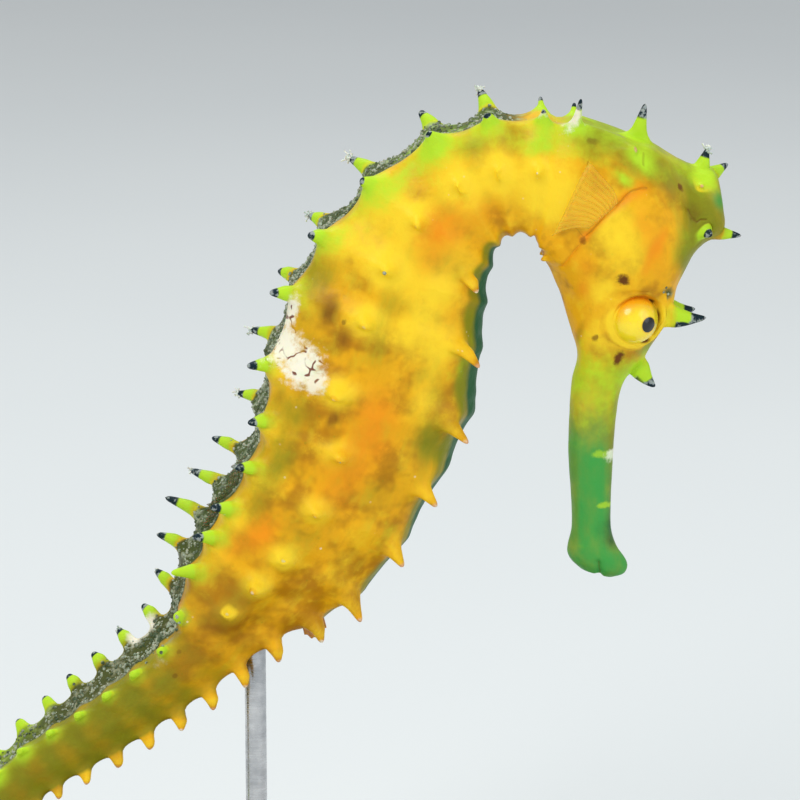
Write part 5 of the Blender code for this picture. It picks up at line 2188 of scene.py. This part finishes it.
@dataclass
class Tufts:
    """Small branching tufts of pale algae on the tips of some spines."""

    branches: int = 17
    branch_length: float = 0.6
    branch_radius: float = 0.07
    branch_steps: int = 4
    sides: int = 5
    seed: int = 3

    def _twigs(self, spots: list[tuple[Point, Point, float]]) -> Piece:
        """Lays one short bent line for every twig.

        Args:
            spots: For each tuft its root, its direction and its size.

        Returns:
            A mesh of open lines.
        """
        draw = np.random.default_rng(self.seed)
        points, edges, thick = [], [], []
        for root, way, size in spots:
            for _ in range(self.branches):
                tilt = unit(way + draw.normal(size=3) * 0.75)
                bend = draw.normal(size=3) * 0.25
                start = root + draw.normal(size=3) * 0.09 * size
                length = self.branch_length * size * draw.uniform(0.5, 1.15)
                for step in range(self.branch_steps + 1):
                    share = step / self.branch_steps
                    points.append(start + tilt * length * share + bend * length * share * share)
                    thick.append(1.0 - 0.35 * share + 0.5 * (step in (2, 4)))
                    if step:
                        edges.append((len(points) - 2, len(points) - 1))
        return bent_lines("tuft_lines", points, edges, thick)

    def build(self, spots: list[tuple[Point, Point, float]], finish: GrowthFinish) -> Piece:
        """Makes the tufts from their lines.

        Args:
            spots: For each tuft its root, its direction and its size.
            finish: The growth's finish.

        Returns:
            All tufts as one piece.
        """
        tree = Tree("tuft_tree")
        tree.close(tree.tube(self.sides, tree.size("Twig radius", self.branch_radius * MM)), finish.make())
        return registered(tree.run(self._twigs(spots), "algae_tufts"), "skin")


# --- fins
@dataclass(frozen=True)
class Blade:
    """A low fin along the middle of the back or belly, folded towards the tail.

    It starts and ends at places along the backbone. Its rake is how far its edge leans towards the
    tail, as a share of its rise.
    """

    node: str
    start: float
    end: float
    around: float
    rise: float
    rake: float
    rays: int


@dataclass
class Fins:
    """The fan behind each gill cover, the low fin on the back and the tiny one at the vent.

    The fan's root and edge are lines between two spots: a place and a turn round the body.
    """

    line: Backbone
    body: Body
    root: tuple = ((28.3, 2.4), (28.75, 1.95))
    edge: tuple = ((30.8, 2.72), (31.7, 1.62))
    bow: float = 0.35
    rays: int = 11
    steps_per_ray: int = 6
    steps_out: int = 10
    web_thickness: float = 0.06
    ray_thickness: float = 0.018

    def _sheet(self, node: str, rays: int, place: Callable, finish: FinFinish) -> Piece:
        """A closed thin sheet, thicker along its rays.

        Args:
            node: The node it stands for.
            rays: How many rays run out across it.
            place: Gives a point and the direction across the sheet there, from the share of the way
                along the root and the share of the way out to the edge.
            finish: The fin's finish.

        Returns:
            The sheet.
        """
        mesh = bmesh.new()
        ray_layer, out_layer = (mesh.verts.layers.float.new(key) for key in ("ray", "out"))
        width, last, layers = rays * self.steps_per_ray, self.steps_out, []
        for sign in (1.0, -1.0):
            layer = []
            for row in range(last + 1):
                out = row / last
                layer.append([])
                for step in range(width + 1):
                    point, across = place(step / width, out)
                    ray = 0.5 + 0.5 * math.cos(2.0 * math.pi * rays * step / width)
                    thick = (self.web_thickness + self.ray_thickness * ray**2) * (1.0 - 0.7 * out)
                    corner = mesh.verts.new(Vector(point + across * (sign * thick)) * MM)
                    corner[ray_layer], corner[out_layer] = ray, out
                    layer[-1].append(corner)
            lay_bands(mesh, layer, closed=False)
            layers.append(layer)
        rims = [
            layer[0] + [layer[row][-1] for row in range(1, last + 1)]
            + layer[last][-2::-1] + [layer[row][0] for row in range(last - 1, 0, -1)]
            for layer in layers
        ]
        lay_bands(mesh, rims)
        return registered(solid(mesh, node + "_web", finish.make()), "fin", node)

    def pectoral(self, side: float, finish: FinFinish) -> Piece:
        """The fan behind one gill cover.

        Args:
            side: 1 for the left and -1 for the right.
            finish: The fin's finish.

        Returns:
            The fin.
        """

        def place(across: float, out: float) -> tuple[Point, Point]:
            """Lays out the fan.

            Args:
                across: The share of the way along the root.
                out: The share of the way out to the edge.

            Returns:
                A point of the fan and the direction away from the body there.
            """
            ends = (np.array(self.root), np.array(self.edge))
            root, edge = (first * (1.0 - across) + second * across for first, second in ends)
            edge[0] += self.bow * 4.0 * across * (1.0 - across)
            edge[0] += 0.02 * math.cos(2.0 * math.pi * self.rays * across)
            at, around = root + (edge - root) * out
            around = around if side > 0 else 8.0 - around
            away = self.body.outward(at, around)
            wave = 0.05 * math.sin(9.0 * across + 3.0 * out) * out
            return self.body.point(at, around) + away * (0.08 + 0.3 * out + wave), away

        node = "pectoral_fin_left" if side > 0 else "pectoral_fin_right"
        return self._sheet(node, self.rays, place, finish)

    def blade(self, blade: Blade, finish: FinFinish) -> Piece:
        """A thin fin along the middle of the back or belly.

        Args:
            blade: The fin's place and sizes.
            finish: The fin's finish.

        Returns:
            The fin.
        """

        def place(across: float, out: float) -> tuple[Point, Point]:
            """Lays out the fin.

            Args:
                across: The share of the way along the root.
                out: The share of the way out to the edge.

            Returns:
                A point of the fin and the animal's left direction there.
            """
            at = blade.start + (blade.end - blade.start) * across
            _, along, _, left = self.line.frame(at)
            away = self.body.outward(at, blade.around)
            height = blade.rise * (0.35 + 0.65 * math.sin(math.pi * (0.12 + 0.76 * across)))
            height += 0.07 * math.cos(2.0 * math.pi * blade.rays * across)
            bend = 0.12 * math.sin(7.0 * across) * out
            foot = self.body.point(at, blade.around) - away * 0.12
            return foot + (away + along * blade.rake) * ((height + 0.3) * out) + left * bend, left

        return self._sheet(blade.node, blade.rays, place, finish)


# --- stand
@dataclass
class Stand:
    """A plain wooden base plate and two steel rods.

    The base's edge is a line of insets and heights. The last one is on the top.
    """

    size: tuple = (66.0, 44.0, 5.0)
    corner: float = 7.0
    corner_steps: int = 14
    profile: tuple = (
        (0.5, 0.0), (0.15, 0.1), (0.0, 0.4), (0.0, 3.1), (0.1, 3.3), (0.35, 3.42), (0.62, 3.5),
        (0.72, 3.7), (0.76, 4.1), (0.9, 4.5), (1.2, 4.8), (1.6, 4.95), (2.2, 5.0),
    )
    rod: float = 0.8
    collar: float = 1.8
    collar_height: float = 0.9
    sides: int = 40

    def _outline(self, inset: float, height: float) -> list[Point]:
        """The rounded outline of the plate at one height.

        Args:
            inset: How far it is drawn in.
            height: The height.

        Returns:
            The outline's points.
        """
        half_x, half_y, radius = 0.5 * self.size[0] - inset, 0.5 * self.size[1] - inset, self.corner - inset
        loop = []
        for number, (sign_x, sign_y) in enumerate(((1, 1), (-1, 1), (-1, -1), (1, -1))):
            for step in range(self.corner_steps + 1):
                turn = math.radians(90.0 * (number + step / self.corner_steps))
                x = sign_x * (half_x - radius) + radius * math.cos(turn)
                y = sign_y * (half_y - radius) + radius * math.sin(turn)
                loop.append(np.array([x, y, height]))
        return loop

    def build_base(self, finish: WoodFinish) -> Piece:
        """The base plate with a shallow step and rounded edges.

        Args:
            finish: The wood's finish.

        Returns:
            The base plate.
        """
        mesh = bmesh.new()
        loops = [self._outline(*level) for level in self.profile]
        rows = [[mesh.verts.new(Vector(point) * MM) for point in loop] for loop in loops]
        lay_bands(mesh, rows)
        mesh.faces.new(rows[0])
        mesh.faces.new(rows[-1])
        base = solid(mesh, "stand_base_plate", finish.make())
        base.data.set_sharp_from_angle(angle=math.radians(50.0))
        return registered(base, "stand_wood", "stand_base")

    def build_rod(self, node: str, into: float, finish: SteelFinish) -> Piece:
        """One rod: a profile swept round its line, ending inside the body it holds.

        Args:
            node: The node it stands for.
            into: How far it reaches past the node's top into the body.
            finish: The steel's finish.

        Returns:
            The rod.
        """
        low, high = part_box(node)
        x, y = 0.5 * (low.x + high.x) / MM, 0.5 * (low.y + high.y) / MM
        foot, top = self.size[2] - 0.15, high.z / MM + into
        collar = foot + self.collar_height + 0.3
        steps = [(foot, self.collar), (collar - 0.35, self.collar), (collar - 0.12, self.collar - 0.1)]
        steps += [(collar, self.collar - 0.35), (collar + 0.02, self.rod + 0.25), (collar + 0.2, self.rod)]
        steps += [(top - 0.3, self.rod), (top, self.rod * 0.6)]
        points = [np.array([x, y, height]) for height, _ in steps]
        edges = [(index, index + 1) for index in range(len(steps) - 1)]
        rod_line = bent_lines("rod_line", points, edges, [size for _, size in steps])
        tree = Tree(node + "_tree")
        radius = tree.size("Radius of one", MM)
        tree.close(tree.tube(tree.size("Sides", self.sides, "NodeSocketInt"), radius), finish.make())
        rod = tree.run(rod_line, node + "_steel")
        rod.data.set_sharp_from_angle(angle=math.radians(40.0))
        return registered(rod, "stand_steel", node)


# --- studio
@dataclass(frozen=True)
class Softbox:
    """A round lamp: where it hangs, how large it is, its power and its colour."""

    name: str
    place: tuple
    size: float
    power: float
    colour: Colour


@dataclass
class Studio:
    """The pale floor, the soft light and the camera."""

    target: tuple = (0.003, 0.0, 0.054)
    camera: tuple = (0.003, -0.25334, 0.11249)
    lens: float = 159.2
    floor_size: float = 4.0
    floor_height: float = -0.0001
    sky: Colour = (0.93, 0.97, 1.0)
    sky_strength: float = 0.52
    boxes: tuple = (
        Softbox("key", (-0.22, -0.42, 0.46), 0.34, 1.75, (1.0, 0.98, 0.94)),
        Softbox("fill", (0.46, -0.34, 0.22), 0.42, 0.85, (0.94, 0.98, 1.0)),
        Softbox("top", (-0.05, 0.16, 0.55), 0.4, 1.2, (0.96, 1.0, 1.0)),
    )

    def _aim(self, name: str, data: bpy.types.ID, place: tuple) -> Piece:
        """Hangs a lamp or a camera at a place and points it at the target."""
        holder = link(name, data)
        holder.location = place
        holder.rotation_euler = (Vector(self.target) - Vector(place)).to_track_quat("-Z", "Y").to_euler()
        return holder

    def build(self) -> None:
        """Makes the floor, the lamps, the sky and the camera."""
        half, low = self.floor_size, self.floor_height
        data = bpy.data.meshes.new("floor")
        corners = [(-half, -half, low), (half, -half, low), (half, half, low), (-half, half, low)]
        data.from_pydata(corners, [], [(0, 1, 2, 3)])
        data.materials.append(FloorFinish().make())
        link("floor", data)
        for box in self.boxes:
            lamp = bpy.data.lights.new(box.name, "AREA")
            lamp.shape, lamp.size, lamp.energy, lamp.color = "DISK", box.size, box.power, box.colour
            self._aim(box.name, lamp, box.place)
        scene = bpy.context.scene
        scene.view_settings.view_transform = "Standard"
        scene.world = bpy.data.worlds.new("studio")
        scene.world.use_nodes = True
        sky = scene.world.node_tree.nodes["Background"]
        sky.inputs["Color"].default_value = (*self.sky, 1.0)
        sky.inputs["Strength"].default_value = self.sky_strength
        lens = bpy.data.cameras.new("camera")
        lens.lens, lens.sensor_width, lens.clip_start, lens.clip_end = self.lens, 36.0, 0.01, 20.0
        scene.camera = self._aim("camera", lens, self.camera)


# --- assembly
def tuft_spots(skin: Skin) -> list[tuple[Point, Point, float]]:
    """Where the algae tufts grow: on the tips of some spines of the back and the crown.

    Args:
        skin: The built skin, which knows its spines' tips.

    Returns:
        For each tuft its root, its direction and its size.
    """
    spots = []
    for spine, tip, way in skin.tips:
        ring = int(np.argmin(np.abs(np.array(skin.rings.places) - spine.at)))
        if spine.at == skin.crown.at:
            if way[2] > 0.45:
                spots.append((tip - way * 0.25, unit(way + np.array([-0.1, 0.0, 0.6])), 0.62))
        elif spine.around == 1.0 and spine.at > 34.0:
            size = {2: 0.8, 4: 0.8, 5: 0.8, 7: 0.8, 8: 0.8, 10: 0.5, 13: 0.5, 15: 0.5}.get(ring)
            if size:
                spots.append((tip - way * 0.3, way, size))
    return spots


def main() -> None:
    """Builds the whole model piece by piece."""
    logging.basicConfig(level=logging.INFO, format="%(name)s: %(message)s")
    line, rings = Backbone(), Rings()
    body = Body(line, rings)
    eyes = Eyes(line)
    skin = Skin(line, rings, body, Crown(body), eyes)
    hide = skin.build(SkinFinish())
    for side in SIDES:
        eyes.build(side, EyeFinish())
    fins = Fins(line, body)
    for side in SIDES:
        fins.pectoral(side, FinFinish())
    dark = FinFinish("fin_membrane_dark", (0.12, 0.15, 0.04), (0.06, 0.09, 0.03), 0.5)
    fins.blade(Blade("dorsal_fin", 65.2, 73.2, 0.0, 0.5, 0.9, 17), dark)
    ochre = FinFinish("fin_membrane_ochre", (0.62, 0.30, 0.012), (0.45, 0.19, 0.01), 0.85)
    fins.blade(Blade("anal_fin", 73.6, 74.9, 4.0, 1.1, 0.7, 4), ochre)
    Crust(hide).build(GrowthFinish("crust_growth", (0.42, 0.46, 0.34), (0.05, 0.08, 0.03)))
    Tufts().build(tuft_spots(skin), GrowthFinish("algae_growth", (0.85, 0.86, 0.78), (0.42, 0.50, 0.44)))
    stand = Stand()
    stand.build_base(WoodFinish())
    stand.build_rod("stand_rod_front", 3.0, SteelFinish())
    stand.build_rod("stand_rod_rear", 1.2, SteelFinish())
    Studio().build()


if __name__ == "__main__":
    main()
